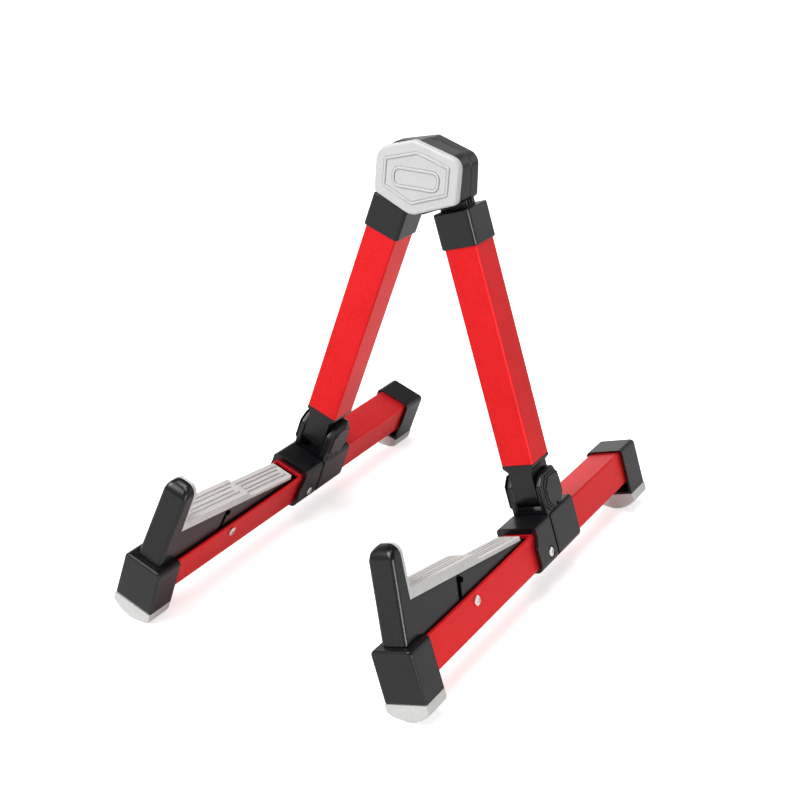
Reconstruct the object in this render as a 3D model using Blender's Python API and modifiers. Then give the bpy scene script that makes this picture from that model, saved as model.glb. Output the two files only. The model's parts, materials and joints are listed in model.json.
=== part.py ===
"""Folding A-frame guitar stand: two square-tube legs on a hinged head, each on a folding base bar with a cradle arm."""

import math

import bmesh
import bpy
from mathutils import Matrix, Vector

MM = 0.001

# Stock and clearances
TUBE_SIDE = 20.0
TUBE_WALL = 1.5
TUBE_CORNER = 1.2
SEAT_GAP = 0.2
RUNNING_GAP = 0.3
PIN_CLEARANCE = 0.08
OVERCUT = 2.0
ARC_STEPS = 4

# Stance: each side leans in towards the head by this angle
SIDE_TILT = math.radians(18.7)
HINGE_OFFSET = 12.2
HINGE_HEIGHT = 220.0

# Base bar, measured from the leg's axis along the floor
BAR_FRONT = 162.5
BAR_REAR = 111.5
CAP_WIDTH = 24.2
CAP_TOP = 1.3
CAP_DROP = 7.3
CAP_CORNER = 2.6
FRONT_CAP_LENGTH = 17.7
REAR_CAP_LENGTH = 20.0
CAP_END_WALL = 3.0
CAP_RIM_RECESS = 3.0
CAP_RIM_WALL = 1.3
CHANNEL_REAR = 29.6

# Foot: straight sides, then an arc about an axis along the bar
FOOT_SIDE = 5.5
FOOT_RADIUS = 19.0
FOOT_FACET = 0.25

# Leg and its socket
LEG_ABOVE_KNEE = 18.8
SOCKET_LENGTH = 19.9
SOCKET_CLEARANCE = 0.2
SOCKET_WIDTH = 22.6
SOCKET_CORNER = 2.2
SOCKET_ROOF = 2.6

# Knee, its heights taken from the pin
KNEE_ABOVE_COLLAR = 1.4
TONGUE_WIDTH = 14.2
TONGUE_RADIUS = 9.6
SHOULDER_ABOVE_KNEE = 14.5
PLUG_LIP = 1.6
PLUG_INSERT = 24.0
KNEE_PIN_RADIUS = 3.0
EAR_OUTER = 11.1
EAR_ABOVE_KNEE = 11.8
EAR_WAIST_BELOW_KNEE = 4.5
EAR_FRONT = 9.6
EAR_REAR = 10.2
EAR_BASE_FRONT = 9.2
EAR_BASE_REAR = 8.6
LIP_RISE = 1.0
LIP_DEPTH = 1.2
COVER_HALF_WIDTH = 10.2
COVER_HALF_HEIGHT = 10.9
COVER_CORNER = 4.6
COVER_STEP = 0.8
COVER_THICKNESS = 1.5
COVER_NOTCH = 1.6

# Collar: the knee bracket's sleeve and the flange clamped in front of it
COLLAR_WIDTH = 25.0
COLLAR_TOP = 24.0
COLLAR_BOTTOM = -2.2
COLLAR_CORNER = 2.4
SLEEVE_FRONT = -10.5
SLEEVE_REAR = 19.3
FLANGE_LIP = -28.0
FLANGE_SIDE = -30.6
FLANGE_STEP_TOP = 17.5
FLANGE_STEP_BOTTOM = 12.0

# Screws: pan heads on a shank
BARREL_RADIUS = 1.5
THREAD_RADIUS = 0.9
THREAD_REACH = 6.0
HEAD_RADIUS = 2.7
HEAD_HEIGHT = 1.3
CROSS_SLOT = 0.7
CROSS_DEPTH = 0.6
RECESS_RADIUS = 3.2
RECESS_DEPTH = 0.9
ARM_PIVOT_V = -17.5
ARM_PIVOT_U = 4.8
REST_SCREW_V = -96.3
REST_SCREW_U = 14.8

# Cradle arm: horn, ramp and tongue in one moulding
ARM_WIDTH = 15.0
HORN_FOOT = -158.2
HORN_TOP = 68.6
HORN_LEAN = math.radians(11.0)
HORN_FACE_LEAN = math.radians(6.5)
HORN_ROUNDING = 4.6
HORN_SHOULDER = 6.0
HORN_EDGE = 2.2
CROTCH_V = -145.6
CROTCH_U = 39.9
RAMP_END_V = -36.0
RAMP_END_U = 20.6
ARM_UNDERSIDE = REST_SCREW_U + BARREL_RADIUS + RUNNING_GAP
ARM_TONGUE_TOP = 15.6
ARM_TONGUE_BOTTOM = 2.2
ARM_EYE_RADIUS = 3.0
TONGUE_SLOPE_FRONT = 26.0
TONGUE_SLOPE_REAR = 8.0
SLOT_WIDTH = 3.4
SLOT_MOUTH_V = -106.8
SLOT_HEAD_V = -103.0
SLOT_HEAD_U = 30.4
SLOT_HOOK_V = -100.4
SLOT_HOOK_U = 28.6

# Silicone pad on the horn and the ramp
PAD_STRIP = 2.1
PAD_FRONT_DEPTH = 5.8
PAD_REAR_DEPTH = 2.3
PAD_STEP_V = -86.0
PAD_STEP_RUN = 5.0
PAD_EDGE = 1.0
GROOVE_WIDTH = 1.1
GROOVE_DEPTH = 0.6
GROOVE_OFFSETS = (1.5, 4.0)
GROOVE_MARGIN = 2.2

# Head
HEX_HALF_WIDTH = 25.3
HEX_TOP = 21.4
HEX_BOTTOM = 21.2
HEX_TOP_SLOPE = math.radians(16.5)
HEX_BOTTOM_SLOPE = math.radians(23.5)
HEX_CORNERS = (10.0, 3.0, 7.0, 4.0)
PARTING_Y = -1.8
FRONT_LEAF_DEPTH = 10.9
REAR_LEAF_DEPTH = 9.3
HEAD_COVER_DEPTH = 3.8
HEAD_COVER_EDGE = 1.2
REAR_LEAF_EDGE = 1.6
NECK_OUTER = 5.6
NECK_BELOW_HINGE = 13.0
RIM_HALF_WIDTH = 19.6
RIM_TOP = 15.0
RIM_BOTTOM = 14.8
RIM_CORNERS = (3.0, 1.4, 1.2, 1.2)
RIM_LINE = 1.3
RIM_RAISE = 0.6
BADGE_WIDTH = 28.4
BADGE_HEIGHT = 11.2
BADGE_CORNER = 4.4
HEAD_BOLT_RADIUS = 3.0
HEAD_BOLT_HEAD_RADIUS = 5.6
HEAD_BOLT_HEAD_HEIGHT = 3.4
HEAD_RECESS_RADIUS = 6.4
HEAD_RECESS_DEPTH = 4.6
NUT_RADIUS = 5.6
WASHER_RADIUS = 7.0
WASHER_THICKNESS = 0.6

# Derived places
KNEE_HEIGHT = COLLAR_TOP + KNEE_ABOVE_COLLAR + TONGUE_RADIUS
LEG_BOTTOM = KNEE_HEIGHT + LEG_ABOVE_KNEE
TONGUE_SHOULDER = KNEE_HEIGHT + SHOULDER_ABOVE_KNEE
EAR_TOP = KNEE_HEIGHT + EAR_ABOVE_KNEE
SOCKET_TOP = HINGE_HEIGHT - HEX_BOTTOM - SOCKET_CLEARANCE
SOCKET_BOTTOM = SOCKET_TOP - SOCKET_LENGTH
BAR_MIDDLE = (BAR_FRONT - BAR_REAR) / 2.0
SIDE_X = HINGE_OFFSET * math.cos(SIDE_TILT) + HINGE_HEIGHT * math.sin(SIDE_TILT)
FOOT_CENTRE = -CAP_DROP - FOOT_SIDE + math.sqrt(FOOT_RADIUS**2 - (CAP_WIDTH / 2.0) ** 2)
SIDE_Z = FOOT_RADIUS - FOOT_FACET - FOOT_CENTRE * math.cos(SIDE_TILT)
HEAD_Z = SIDE_Z - HINGE_OFFSET * math.sin(SIDE_TILT) + HINGE_HEIGHT * math.cos(SIDE_TILT)
RAMP_SLOPE = math.atan2(CROTCH_U - RAMP_END_U, RAMP_END_V - CROTCH_V)


# Scene and materials


def clearScene():
    for obj in list(bpy.data.objects):
        bpy.data.objects.remove(obj, do_unlink=True)


def makeCollection(name, hidden=False):
    collection = bpy.data.collections.new(name)
    bpy.context.scene.collection.children.link(collection)
    collection.hide_render = hidden
    return collection


def makeMaterial(name, colour, roughness, metallic):
    material = bpy.data.materials.new(name)
    material.use_nodes = True
    shader = material.node_tree.nodes["Principled BSDF"]
    shader.inputs["Base Color"].default_value = (*colour, 1.0)
    shader.inputs["Roughness"].default_value = roughness
    shader.inputs["Metallic"].default_value = metallic
    material.diffuse_color = (*colour, 1.0)
    return material


# Outlines: lists of 2D points, anticlockwise


def roundedOutline(corners, steps=ARC_STEPS):
    """Each corner is (x, y, radius); a radius of 0 keeps the corner sharp."""
    points = []
    count = len(corners)
    for i, (x, y, radius) in enumerate(corners):
        here = Vector((x, y))
        before = Vector(corners[i - 1][:2]) - here
        after = Vector(corners[(i + 1) % count][:2]) - here
        if radius <= 0.0:
            points.append((x, y))
            continue
        half = before.angle(after) / 2.0
        centre = here + (before.normalized() + after.normalized()).normalized() * (radius / math.sin(half))
        start = here + before.normalized() * (radius / math.tan(half)) - centre
        end = here + after.normalized() * (radius / math.tan(half)) - centre
        turn = start.angle_signed(end)
        for step in range(steps + 1):
            arm = start.copy()
            arm.rotate(Matrix.Rotation(-turn * step / steps, 2))
            points.append(tuple(centre + arm))
    return points


def rectangleOutline(x0, x1, y0, y1, radius=0.0):
    return roundedOutline([(x0, y0, radius), (x1, y0, radius), (x1, y1, radius), (x0, y1, radius)])


def hexOutline(halfWidth, top, bottom, corners, inset=0.0):
    """Hexagon with upright sides, flatter above than below; corners are the radii from the bottom point up."""
    low, lower, upper, high = (max(radius - inset, 0.4) for radius in corners)
    half = halfWidth - inset
    top -= inset / math.cos(HEX_TOP_SLOPE)
    bottom -= inset / math.cos(HEX_BOTTOM_SLOPE)
    shoulder = top - half * math.tan(HEX_TOP_SLOPE)
    hip = half * math.tan(HEX_BOTTOM_SLOPE) - bottom
    return roundedOutline(
        [
            (0.0, -bottom, low),
            (half, hip, lower),
            (half, shoulder, upper),
            (0.0, top, high),
            (-half, shoulder, upper),
            (-half, hip, lower),
        ]
    )


def strokeOutline(path, width):
    """Outline of a line of even width along a path, mitred at its bends and square at its ends."""
    left = []
    right = []
    for i, point in enumerate(path):
        here = Vector(point)
        into = (here - Vector(path[i - 1])).normalized() if i > 0 else None
        out = (Vector(path[i + 1]) - here).normalized() if i < len(path) - 1 else None
        into = into or out
        out = out or into
        normals = [Vector((-d.y, d.x)) for d in (into, out)]
        offset = (normals[0] + normals[1]).normalized()
        offset *= (width / 2.0) / offset.dot(normals[0])
        left.append(tuple(here + offset))
        right.append(tuple(here - offset))
    return right + left[::-1]


# Solids


def axisFrame(axis):
    """Maps an outline's x and y, and the extrusion's z, onto a part's axes."""
    columns = {
        "u": ((1, 0, 0), (0, 1, 0), (0, 0, 1)),
        "v": ((1, 0, 0), (0, 0, 1), (0, -1, 0)),
        "n": ((0, 1, 0), (0, 0, 1), (1, 0, 0)),
    }[axis]
    return Matrix(columns).transposed()


def prismMesh(name, outline, axis, low, high):
    """Extrudes an outline along u (outline n, v), v (outline n, u) or n (outline v, u)."""
    frame = axisFrame(axis)
    if axis == "v":
        low, high = -high, -low
    mesh = bpy.data.meshes.new(name)
    shape = bmesh.new()
    rings = []
    for level in (low, high):
        rings.append([shape.verts.new(frame @ Vector((x, y, level)) * MM) for x, y in outline])
    count = len(outline)
    for i in range(count):
        k = (i + 1) % count
        shape.faces.new((rings[0][i], rings[0][k], rings[1][k], rings[1][i]))
    shape.faces.new(rings[1])
    shape.faces.new(rings[0][::-1])
    bmesh.ops.remove_doubles(shape, verts=shape.verts, dist=1e-7)
    bmesh.ops.recalc_face_normals(shape, faces=shape.faces)
    shape.to_mesh(mesh)
    shape.free()
    return mesh


def circleOutline(x, y, radius, segments=24):
    turns = [2.0 * math.pi * i / segments for i in range(segments)]
    return [(x + radius * math.cos(a), y + radius * math.sin(a)) for a in turns]


def shadeByAngle(mesh, limit=math.radians(32.0)):
    mesh.polygons.foreach_set("use_smooth", [True] * len(mesh.polygons))
    mesh.set_sharp_from_angle(angle=limit)


class Kit:
    """Holds the two collections and makes objects in them."""

    def __init__(self):
        self.parts = makeCollection("folding_guitar_stand")
        self.cutters = makeCollection("cutters", hidden=True)

    def piece(self, name, mesh, material):
        obj = bpy.data.objects.new(name, mesh)
        self.parts.objects.link(obj)
        obj.data.materials.clear()
        obj.data.materials.append(material)
        return obj

    def tool(self, name, mesh):
        obj = bpy.data.objects.new(name, mesh)
        self.cutters.objects.link(obj)
        obj.hide_render = True
        obj.display_type = "WIRE"
        return obj

    def cut(self, target, mesh, operation="DIFFERENCE"):
        helper = self.tool(f"{target.name}_{operation.lower()}_{len(target.modifiers)}", mesh)
        helper.parent = target
        modifier = target.modifiers.new(f"{operation.title()} {len(target.modifiers)}", "BOOLEAN")
        modifier.operation = operation
        modifier.solver = "EXACT"
        modifier.object = helper
        return helper

    def join(self, target, mesh):
        return self.cut(target, mesh, "UNION")


def bevel(obj, width, segments=2, weighted=False):
    modifier = obj.modifiers.new("Edge rounding", "BEVEL")
    modifier.width = width * MM
    modifier.segments = segments
    modifier.limit_method = "WEIGHT" if weighted else "ANGLE"
    modifier.angle_limit = math.radians(50.0)
    modifier.use_clamp_overlap = True
    return modifier


def weightEdges(mesh, chosen):
    """Marks the edges whose both ends satisfy the test for the weighted bevel; the test reads millimetres."""
    layer = mesh.attributes.new("bevel_weight_edge", "FLOAT", "EDGE")
    for edge in mesh.edges:
        ends = [mesh.vertices[i].co / MM for i in edge.vertices]
        layer.data[edge.index].value = 1.0 if chosen(*ends) else 0.0


# Base bar


def baseTube(kit, name, material):
    half = TUBE_SIDE / 2.0
    front = -BAR_FRONT + CAP_END_WALL + SEAT_GAP
    rear = BAR_REAR - CAP_END_WALL - SEAT_GAP
    outer = rectangleOutline(-half, half, 0.0, TUBE_SIDE, TUBE_CORNER)
    inner = rectangleOutline(-half + TUBE_WALL, half - TUBE_WALL, TUBE_WALL, TUBE_SIDE - TUBE_WALL)
    tube = kit.piece(name, prismMesh(name, outer, "v", front, rear), material)
    kit.cut(tube, prismMesh(name + "_bore", inner, "v", front - OVERCUT, rear + OVERCUT))
    channelFront = -BAR_FRONT + FRONT_CAP_LENGTH - OVERCUT
    channel = rectangleOutline(-half + TUBE_WALL, half - TUBE_WALL, channelFront, -CHANNEL_REAR, 0.6)
    kit.cut(tube, prismMesh(name + "_channel", channel, "u", TUBE_SIDE / 2.0, TUBE_SIDE + OVERCUT))
    restHole = circleOutline(REST_SCREW_V, REST_SCREW_U, BARREL_RADIUS + SEAT_GAP)
    kit.cut(tube, prismMesh(name + "_rest_hole", restHole, "n", -CAP_WIDTH, CAP_WIDTH))
    pivotHole = circleOutline(ARM_PIVOT_V, ARM_PIVOT_U, BARREL_RADIUS + SEAT_GAP)
    kit.cut(tube, prismMesh(name + "_pivot_hole", pivotHole, "n", -CAP_WIDTH, CAP_WIDTH))
    return tube


def capOutline(inset=0.0, corner=CAP_CORNER):
    half = CAP_WIDTH / 2.0 - inset
    top = TUBE_SIDE + CAP_TOP - inset
    bottom = -CAP_DROP + inset
    return roundedOutline([(-half, bottom, 0.0), (half, bottom, 0.0), (half, top, corner), (-half, top, corner)])


def endCap(kit, name, material, outerFace, innerFace):
    """Moulded cap: outer face closed, pocket for the tube, hollow below it and an open rim."""
    low, high = sorted((outerFace, innerFace))
    inward = 1.0 if innerFace > outerFace else -1.0
    cap = kit.piece(name, prismMesh(name, capOutline(), "v", low, high), material)
    bevel(cap, 0.8, 2)
    half = TUBE_SIDE / 2.0 + SEAT_GAP
    pocketStart = outerFace + inward * CAP_END_WALL
    mouth = innerFace + inward * OVERCUT
    span = sorted((pocketStart, mouth))
    pocket = rectangleOutline(-half, half, -SEAT_GAP, TUBE_SIDE + SEAT_GAP, TUBE_CORNER)
    kit.cut(cap, prismMesh(name + "_pocket", pocket, "v", *span))
    hollowHalf = CAP_WIDTH / 2.0 - 2.0
    hollow = rectangleOutline(-hollowHalf, hollowHalf, -CAP_DROP + 2.0, 1.0, 0.5)
    hollowSpan = sorted((pocketStart + inward * 2.0, mouth))
    kit.cut(cap, prismMesh(name + "_hollow", hollow, "v", *hollowSpan))
    rimHalf = CAP_WIDTH / 2.0 - CAP_RIM_WALL
    rim = rectangleOutline(-rimHalf, rimHalf, -CAP_DROP + CAP_RIM_WALL, TUBE_SIDE + CAP_TOP - 0.8, 0.9)
    rimSpan = sorted((innerFace - inward * CAP_RIM_RECESS, mouth))
    kit.cut(cap, prismMesh(name + "_rim", rim, "v", *rimSpan))
    return cap


def footOutline(tiltSign):
    """Straight sides and an arc below, with a small flat where the foot meets the floor."""
    half = CAP_WIDTH / 2.0
    top = -CAP_DROP - SEAT_GAP
    contact = -math.pi / 2.0 - tiltSign * SIDE_TILT
    flat = math.acos((FOOT_RADIUS - FOOT_FACET) / FOOT_RADIUS)
    edge = math.asin(half / FOOT_RADIUS)
    points = [(half, top), (-half, top)]
    steps = 14
    start = -math.pi / 2.0 - edge
    angles = [start + 2.0 * edge * i / steps for i in range(steps + 1)]
    angles = [a for a in angles if abs(a - contact) > flat + 0.02]
    angles += [contact - flat, contact + flat]
    for angle in sorted(angles):
        points.append((FOOT_RADIUS * math.cos(angle), FOOT_CENTRE + FOOT_RADIUS * math.sin(angle)))
    return points


def foot(kit, name, material, outerFace, innerFace, side):
    low, high = sorted((outerFace, innerFace))
    return kit.piece(name, prismMesh(name, footOutline(side), "v", low, high), material)


# Collar and knee


def collarOutline():
    half = COLLAR_WIDTH / 2.0
    return rectangleOutline(-half, half, COLLAR_BOTTOM, COLLAR_TOP, COLLAR_CORNER)


def collarBore(clearance=SEAT_GAP):
    half = TUBE_SIDE / 2.0 + clearance
    return rectangleOutline(-half, half, -clearance, TUBE_SIDE + clearance, TUBE_CORNER)


def flange(kit, name, material):
    """Front clamp of the collar, with an S-curved front edge on each side."""
    rear = SLEEVE_FRONT - SEAT_GAP
    piece = kit.piece(name, prismMesh(name, collarOutline(), "v", FLANGE_SIDE, rear), material)
    bevel(piece, 0.5, 1)
    kit.cut(piece, prismMesh(name + "_bore", collarBore(), "v", FLANGE_SIDE - OVERCUT, rear + OVERCUT))
    front = FLANGE_SIDE - OVERCUT
    top = COLLAR_TOP + OVERCUT
    swoop = roundedOutline(
        [
            (front, FLANGE_STEP_BOTTOM, 0.0),
            (FLANGE_SIDE, FLANGE_STEP_BOTTOM, 2.0),
            (FLANGE_LIP, FLANGE_STEP_TOP, 2.0),
            (FLANGE_LIP, top, 0.0),
            (front, top, 0.0),
        ]
    )
    kit.cut(piece, prismMesh(name + "_swoop", swoop, "n", -COLLAR_WIDTH, COLLAR_WIDTH))
    cutScrewSeats(kit, piece)
    return piece


def cutScrewSeats(kit, piece):
    """Counterbores and a through hole for the arm's pivot screw."""
    floor = COLLAR_WIDTH / 2.0 - RECESS_DEPTH
    for tag, low, high in (("in", -COLLAR_WIDTH, -floor), ("out", floor, COLLAR_WIDTH)):
        seat = circleOutline(ARM_PIVOT_V, ARM_PIVOT_U, RECESS_RADIUS)
        kit.cut(piece, prismMesh(f"{piece.name}_seat_{tag}", seat, "n", low, high))
    hole = circleOutline(ARM_PIVOT_V, ARM_PIVOT_U, BARREL_RADIUS + SEAT_GAP)
    kit.cut(piece, prismMesh(piece.name + "_hole", hole, "n", -COLLAR_WIDTH, COLLAR_WIDTH))


def earOutline():
    """Ear in the bar's plane: a waist at the foot and a rounded head with a squarer rear corner."""
    waist = KNEE_HEIGHT - EAR_WAIST_BELOW_KNEE
    return roundedOutline(
        [
            (-EAR_BASE_FRONT, TUBE_SIDE + 2.0, 0.0),
            (EAR_BASE_REAR, TUBE_SIDE + 2.0, 0.0),
            (EAR_REAR, waist, 2.0),
            (EAR_REAR, EAR_TOP, 3.2),
            (-EAR_FRONT + 5.0, EAR_TOP - 0.8, 3.0),
            (-EAR_FRONT, KNEE_HEIGHT + 5.0, 3.0),
            (-EAR_FRONT, waist, 2.0),
        ]
    )


def kneeBracket(kit, name, material):
    """Sleeve on the bar with a low front lip and two ears that hold the leg's tongue."""
    piece = kit.piece(name, prismMesh(name, collarOutline(), "v", SLEEVE_FRONT, SLEEVE_REAR), material)
    bevel(piece, 0.5, 1)
    inner = TONGUE_WIDTH / 2.0 + RUNNING_GAP
    for tag, low, high in (("in", -EAR_OUTER, -inner), ("out", inner, EAR_OUTER)):
        kit.join(piece, prismMesh(f"{name}_ear_{tag}", earOutline(), "n", low, high))
    lipFront = SLEEVE_FRONT + 0.1
    lip = rectangleOutline(-inner - 0.5, inner + 0.5, lipFront, lipFront + LIP_DEPTH)
    kit.join(piece, prismMesh(name + "_lip", lip, "u", TUBE_SIDE + 2.0, COLLAR_TOP + LIP_RISE))
    kit.cut(piece, prismMesh(name + "_bore", collarBore(), "v", -CAP_WIDTH, CAP_WIDTH))
    hole = circleOutline(0.0, KNEE_HEIGHT, KNEE_PIN_RADIUS + PIN_CLEARANCE)
    kit.cut(piece, prismMesh(name + "_pin_hole", hole, "n", -CAP_WIDTH, CAP_WIDTH))
    return piece


def kneePin(kit, name, material):
    reach = EAR_OUTER - SEAT_GAP
    outline = circleOutline(0.0, KNEE_HEIGHT, KNEE_PIN_RADIUS)
    return kit.piece(name, prismMesh(name, outline, "n", -reach, reach), material)


def coverOutline(inset):
    """Octagon in the bar's plane about the knee."""
    w, h, c = COVER_HALF_WIDTH - inset, COVER_HALF_HEIGHT - inset, COVER_CORNER - inset * 0.6
    corners = [(-w + c, -h), (w - c, -h), (w, -h + c), (w, h - c), (w - c, h), (-w + c, h), (-w, h - c), (-w, -h + c)]
    return [(v, KNEE_HEIGHT + u) for v, u in corners]


def kneeCover(kit, name, material, side):
    """Stepped octagonal cover on an ear's outer face, with a small notch above and below."""
    low = EAR_OUTER + SEAT_GAP
    middle = low + COVER_THICKNESS / 2.0
    cover = kit.piece(name, prismMesh(name, coverOutline(0.0), "n", *sorted((side * low, side * middle))), material)
    raised = sorted((side * (low + 0.2), side * (low + COVER_THICKNESS)))
    kit.join(cover, prismMesh(name + "_face", coverOutline(COVER_STEP), "n", *raised))
    for tag, sign in (("low", -1.0), ("high", 1.0)):
        edge = KNEE_HEIGHT + sign * COVER_HALF_HEIGHT
        span = sorted((edge - sign * COVER_NOTCH, edge + sign * OVERCUT))
        notch = rectangleOutline(-COVER_NOTCH, COVER_NOTCH, *span)
        kit.cut(cover, prismMesh(f"{name}_notch_{tag}", notch, "n", -CAP_WIDTH, CAP_WIDTH))
    return cover


def tongueOutline():
    """Side view of the tongue: flat faces above the knee and a round end about it."""
    steps = 14
    points = []
    for i in range(steps + 1):
        angle = math.pi + math.pi * i / steps
        points.append((TONGUE_RADIUS * math.cos(angle), KNEE_HEIGHT + TONGUE_RADIUS * math.sin(angle)))
    top = LEG_BOTTOM - SEAT_GAP
    return points + [(TONGUE_RADIUS, top), (-TONGUE_RADIUS, top)]


def kneePlug(kit, name, material):
    """Plug in the leg: insert, lip under the tube, tapering shoulder and the tongue."""
    half = TONGUE_WIDTH / 2.0
    lip = TUBE_SIDE / 2.0 - 0.2
    lipTop = LEG_BOTTOM - SEAT_GAP
    lipBottom = lipTop - PLUG_LIP
    shoulder = [
        (-half, TONGUE_SHOULDER),
        (half, TONGUE_SHOULDER),
        (lip, lipBottom),
        (lip, lipTop),
        (-lip, lipTop),
        (-lip, lipBottom),
    ]
    plug = kit.piece(name, prismMesh(name, tongueOutline(), "n", -half, half), material)
    kit.join(plug, prismMesh(name + "_shoulder", shoulder, "v", -lip, lip))
    insertHalf = TUBE_SIDE / 2.0 - TUBE_WALL - SEAT_GAP
    insert = rectangleOutline(-insertHalf, insertHalf, -insertHalf, insertHalf)
    kit.join(plug, prismMesh(name + "_insert", insert, "u", lipTop - 1.0, LEG_BOTTOM + PLUG_INSERT))
    hole = circleOutline(0.0, KNEE_HEIGHT, KNEE_PIN_RADIUS + PIN_CLEARANCE)
    kit.cut(plug, prismMesh(name + "_hole", hole, "n", -CAP_WIDTH, CAP_WIDTH))
    return plug


# Screws


def panHead(name, sign, seat, segments=24):
    """Pan head turned about n from its profile: radius and height above the seat."""
    profile = [
        (HEAD_RADIUS, 0.0),
        (HEAD_RADIUS, HEAD_HEIGHT * 0.25),
        (HEAD_RADIUS * 0.88, HEAD_HEIGHT * 0.62),
        (HEAD_RADIUS * 0.6, HEAD_HEIGHT * 0.93),
        (HEAD_RADIUS * 0.3, HEAD_HEIGHT),
    ]
    mesh = bpy.data.meshes.new(name)
    shape = bmesh.new()
    rings = []
    for radius, height in profile:
        places = [(sign * (seat + height), y, z) for y, z in circleOutline(0.0, 0.0, radius, segments)]
        rings.append([shape.verts.new(Vector(place) * MM) for place in places])
    for low, high in zip(rings, rings[1:]):
        for i in range(segments):
            k = (i + 1) % segments
            shape.faces.new((low[i], low[k], high[k], high[i]))
    shape.faces.new(rings[0])
    shape.faces.new(rings[-1])
    bmesh.ops.recalc_face_normals(shape, faces=shape.faces)
    shape.to_mesh(mesh)
    shape.free()
    return mesh


def crossRecess(kit, screw, sign, face):
    """Two short crossed slots in a screw's head."""
    span = sorted((sign * (face - CROSS_DEPTH), sign * (face + OVERCUT)))
    reach = HEAD_RADIUS * 0.6
    for tag, a, b in (("flat", reach, CROSS_SLOT / 2.0), ("upright", CROSS_SLOT / 2.0, reach)):
        slot = rectangleOutline(-a, a, -b, b)
        kit.cut(screw, prismMesh(f"{screw.name}_{tag}", slot, "n", *span))


def bindingScrew(kit, name, material, side, seat, radius, reach, bore=0.0):
    """One half of a through screw: a head on its seat and a shank to the given reach, about its own origin."""
    screw = kit.piece(name, panHead(name, side, seat), material)
    span = sorted((side * (seat + 0.2), side * reach))
    kit.join(screw, prismMesh(name + "_shank", circleOutline(0.0, 0.0, radius, 20), "n", *span))
    if bore > 0.0:
        span = sorted((side * (reach - OVERCUT), side * (seat - 2.0)))
        kit.cut(screw, prismMesh(name + "_bore", circleOutline(0.0, 0.0, bore, 20), "n", *span))
    crossRecess(kit, screw, side, seat + HEAD_HEIGHT)
    return screw


def throughScrew(kit, side, label, material, seat):
    """Barrel half with its head outside and screw half with its head inside, threaded together."""
    barrelEnd = -seat + SEAT_GAP
    barrel = bindingScrew(
        kit, f"{label}_barrel", material, side, seat, BARREL_RADIUS, barrelEnd, THREAD_RADIUS + PIN_CLEARANCE
    )
    screw = bindingScrew(kit, f"{label}_screw", material, -side, seat, THREAD_RADIUS, THREAD_REACH - seat)
    return [barrel, screw]


# Cradle arm


def rampPoint(along, above):
    """A point in the bar's plane from its distance along the ramp and height above it."""
    c, s = math.cos(RAMP_SLOPE), math.sin(RAMP_SLOPE)
    return (CROTCH_V + along * c + above * s, CROTCH_U - along * s + above * c)


def armOutline():
    """Side view of the arm: foot, horn, ramp, and the tongue down to the pivot eye."""
    footLevel = TUBE_SIDE + CAP_TOP + RUNNING_GAP
    rise = HORN_TOP - footLevel
    hornFront = HORN_FOOT + rise * math.tan(HORN_LEAN)
    hornRear = CROTCH_V + (HORN_TOP - CROTCH_U) * math.tan(HORN_FACE_LEAN)
    capRear = -BAR_FRONT + FRONT_CAP_LENGTH + 0.5
    outline = roundedOutline(
        [
            (HORN_FOOT, footLevel, 0.0),
            (capRear, footLevel, 0.0),
            (capRear, ARM_UNDERSIDE, 0.0),
            (RAMP_END_V - TONGUE_SLOPE_FRONT, ARM_UNDERSIDE, 0.0),
            (RAMP_END_V - TONGUE_SLOPE_REAR, ARM_TONGUE_BOTTOM, 3.0),
            (ARM_PIVOT_V, ARM_PIVOT_U - ARM_EYE_RADIUS, 0.0),
        ],
        4,
    )
    for i in range(1, 8):
        angle = -math.pi / 2.0 + math.pi * i / 8.0
        outline.append((ARM_PIVOT_V + ARM_EYE_RADIUS * math.cos(angle), ARM_PIVOT_U + ARM_EYE_RADIUS * math.sin(angle)))
    outline += roundedOutline(
        [
            (ARM_PIVOT_V - 2.0, ARM_PIVOT_U + ARM_EYE_RADIUS + 0.6, 0.0),
            (RAMP_END_V + 2.6, ARM_TONGUE_TOP, 2.0),
            (RAMP_END_V + 1.2, ARM_TONGUE_TOP + 2.0, 0.0),
            (RAMP_END_V, RAMP_END_U, 0.0),
            (CROTCH_V, CROTCH_U, 0.0),
            (hornRear, HORN_TOP, 0.8),
            (hornFront, HORN_TOP - 1.2, HORN_ROUNDING),
            (HORN_FOOT, footLevel, 0.0),
        ],
        4,
    )[:-1]
    return outline


def isHornEdge(a, b):
    """True for the horn's long outer edges, which are rounded."""
    sameSide = abs(a.x - b.x) < 0.01
    front = max(a.y, b.y) < CROTCH_V + 4.0
    clearOfRamp = min(a.z, b.z) > CROTCH_U + 0.5 or max(a.y, b.y) < CROTCH_V - 1.5
    return sameSide and front and clearOfRamp and max(a.z, b.z) > TUBE_SIDE + CAP_TOP + 0.6


def roundHornTop(kit, piece):
    """Rounds a piece over the top of the horn, seen along the bar, leaving the rest as it is."""
    half = ARM_WIDTH / 2.0 + 0.02
    arch = roundedOutline(
        [(-half, -COLLAR_TOP, 0.0), (half, -COLLAR_TOP, 0.0), (half, HORN_TOP, HORN_SHOULDER), (-half, HORN_TOP, HORN_SHOULDER)]
    )
    kit.cut(piece, prismMesh(piece.name + "_arch", arch, "v", -BAR_FRONT - OVERCUT, OVERCUT), "INTERSECT")


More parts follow.
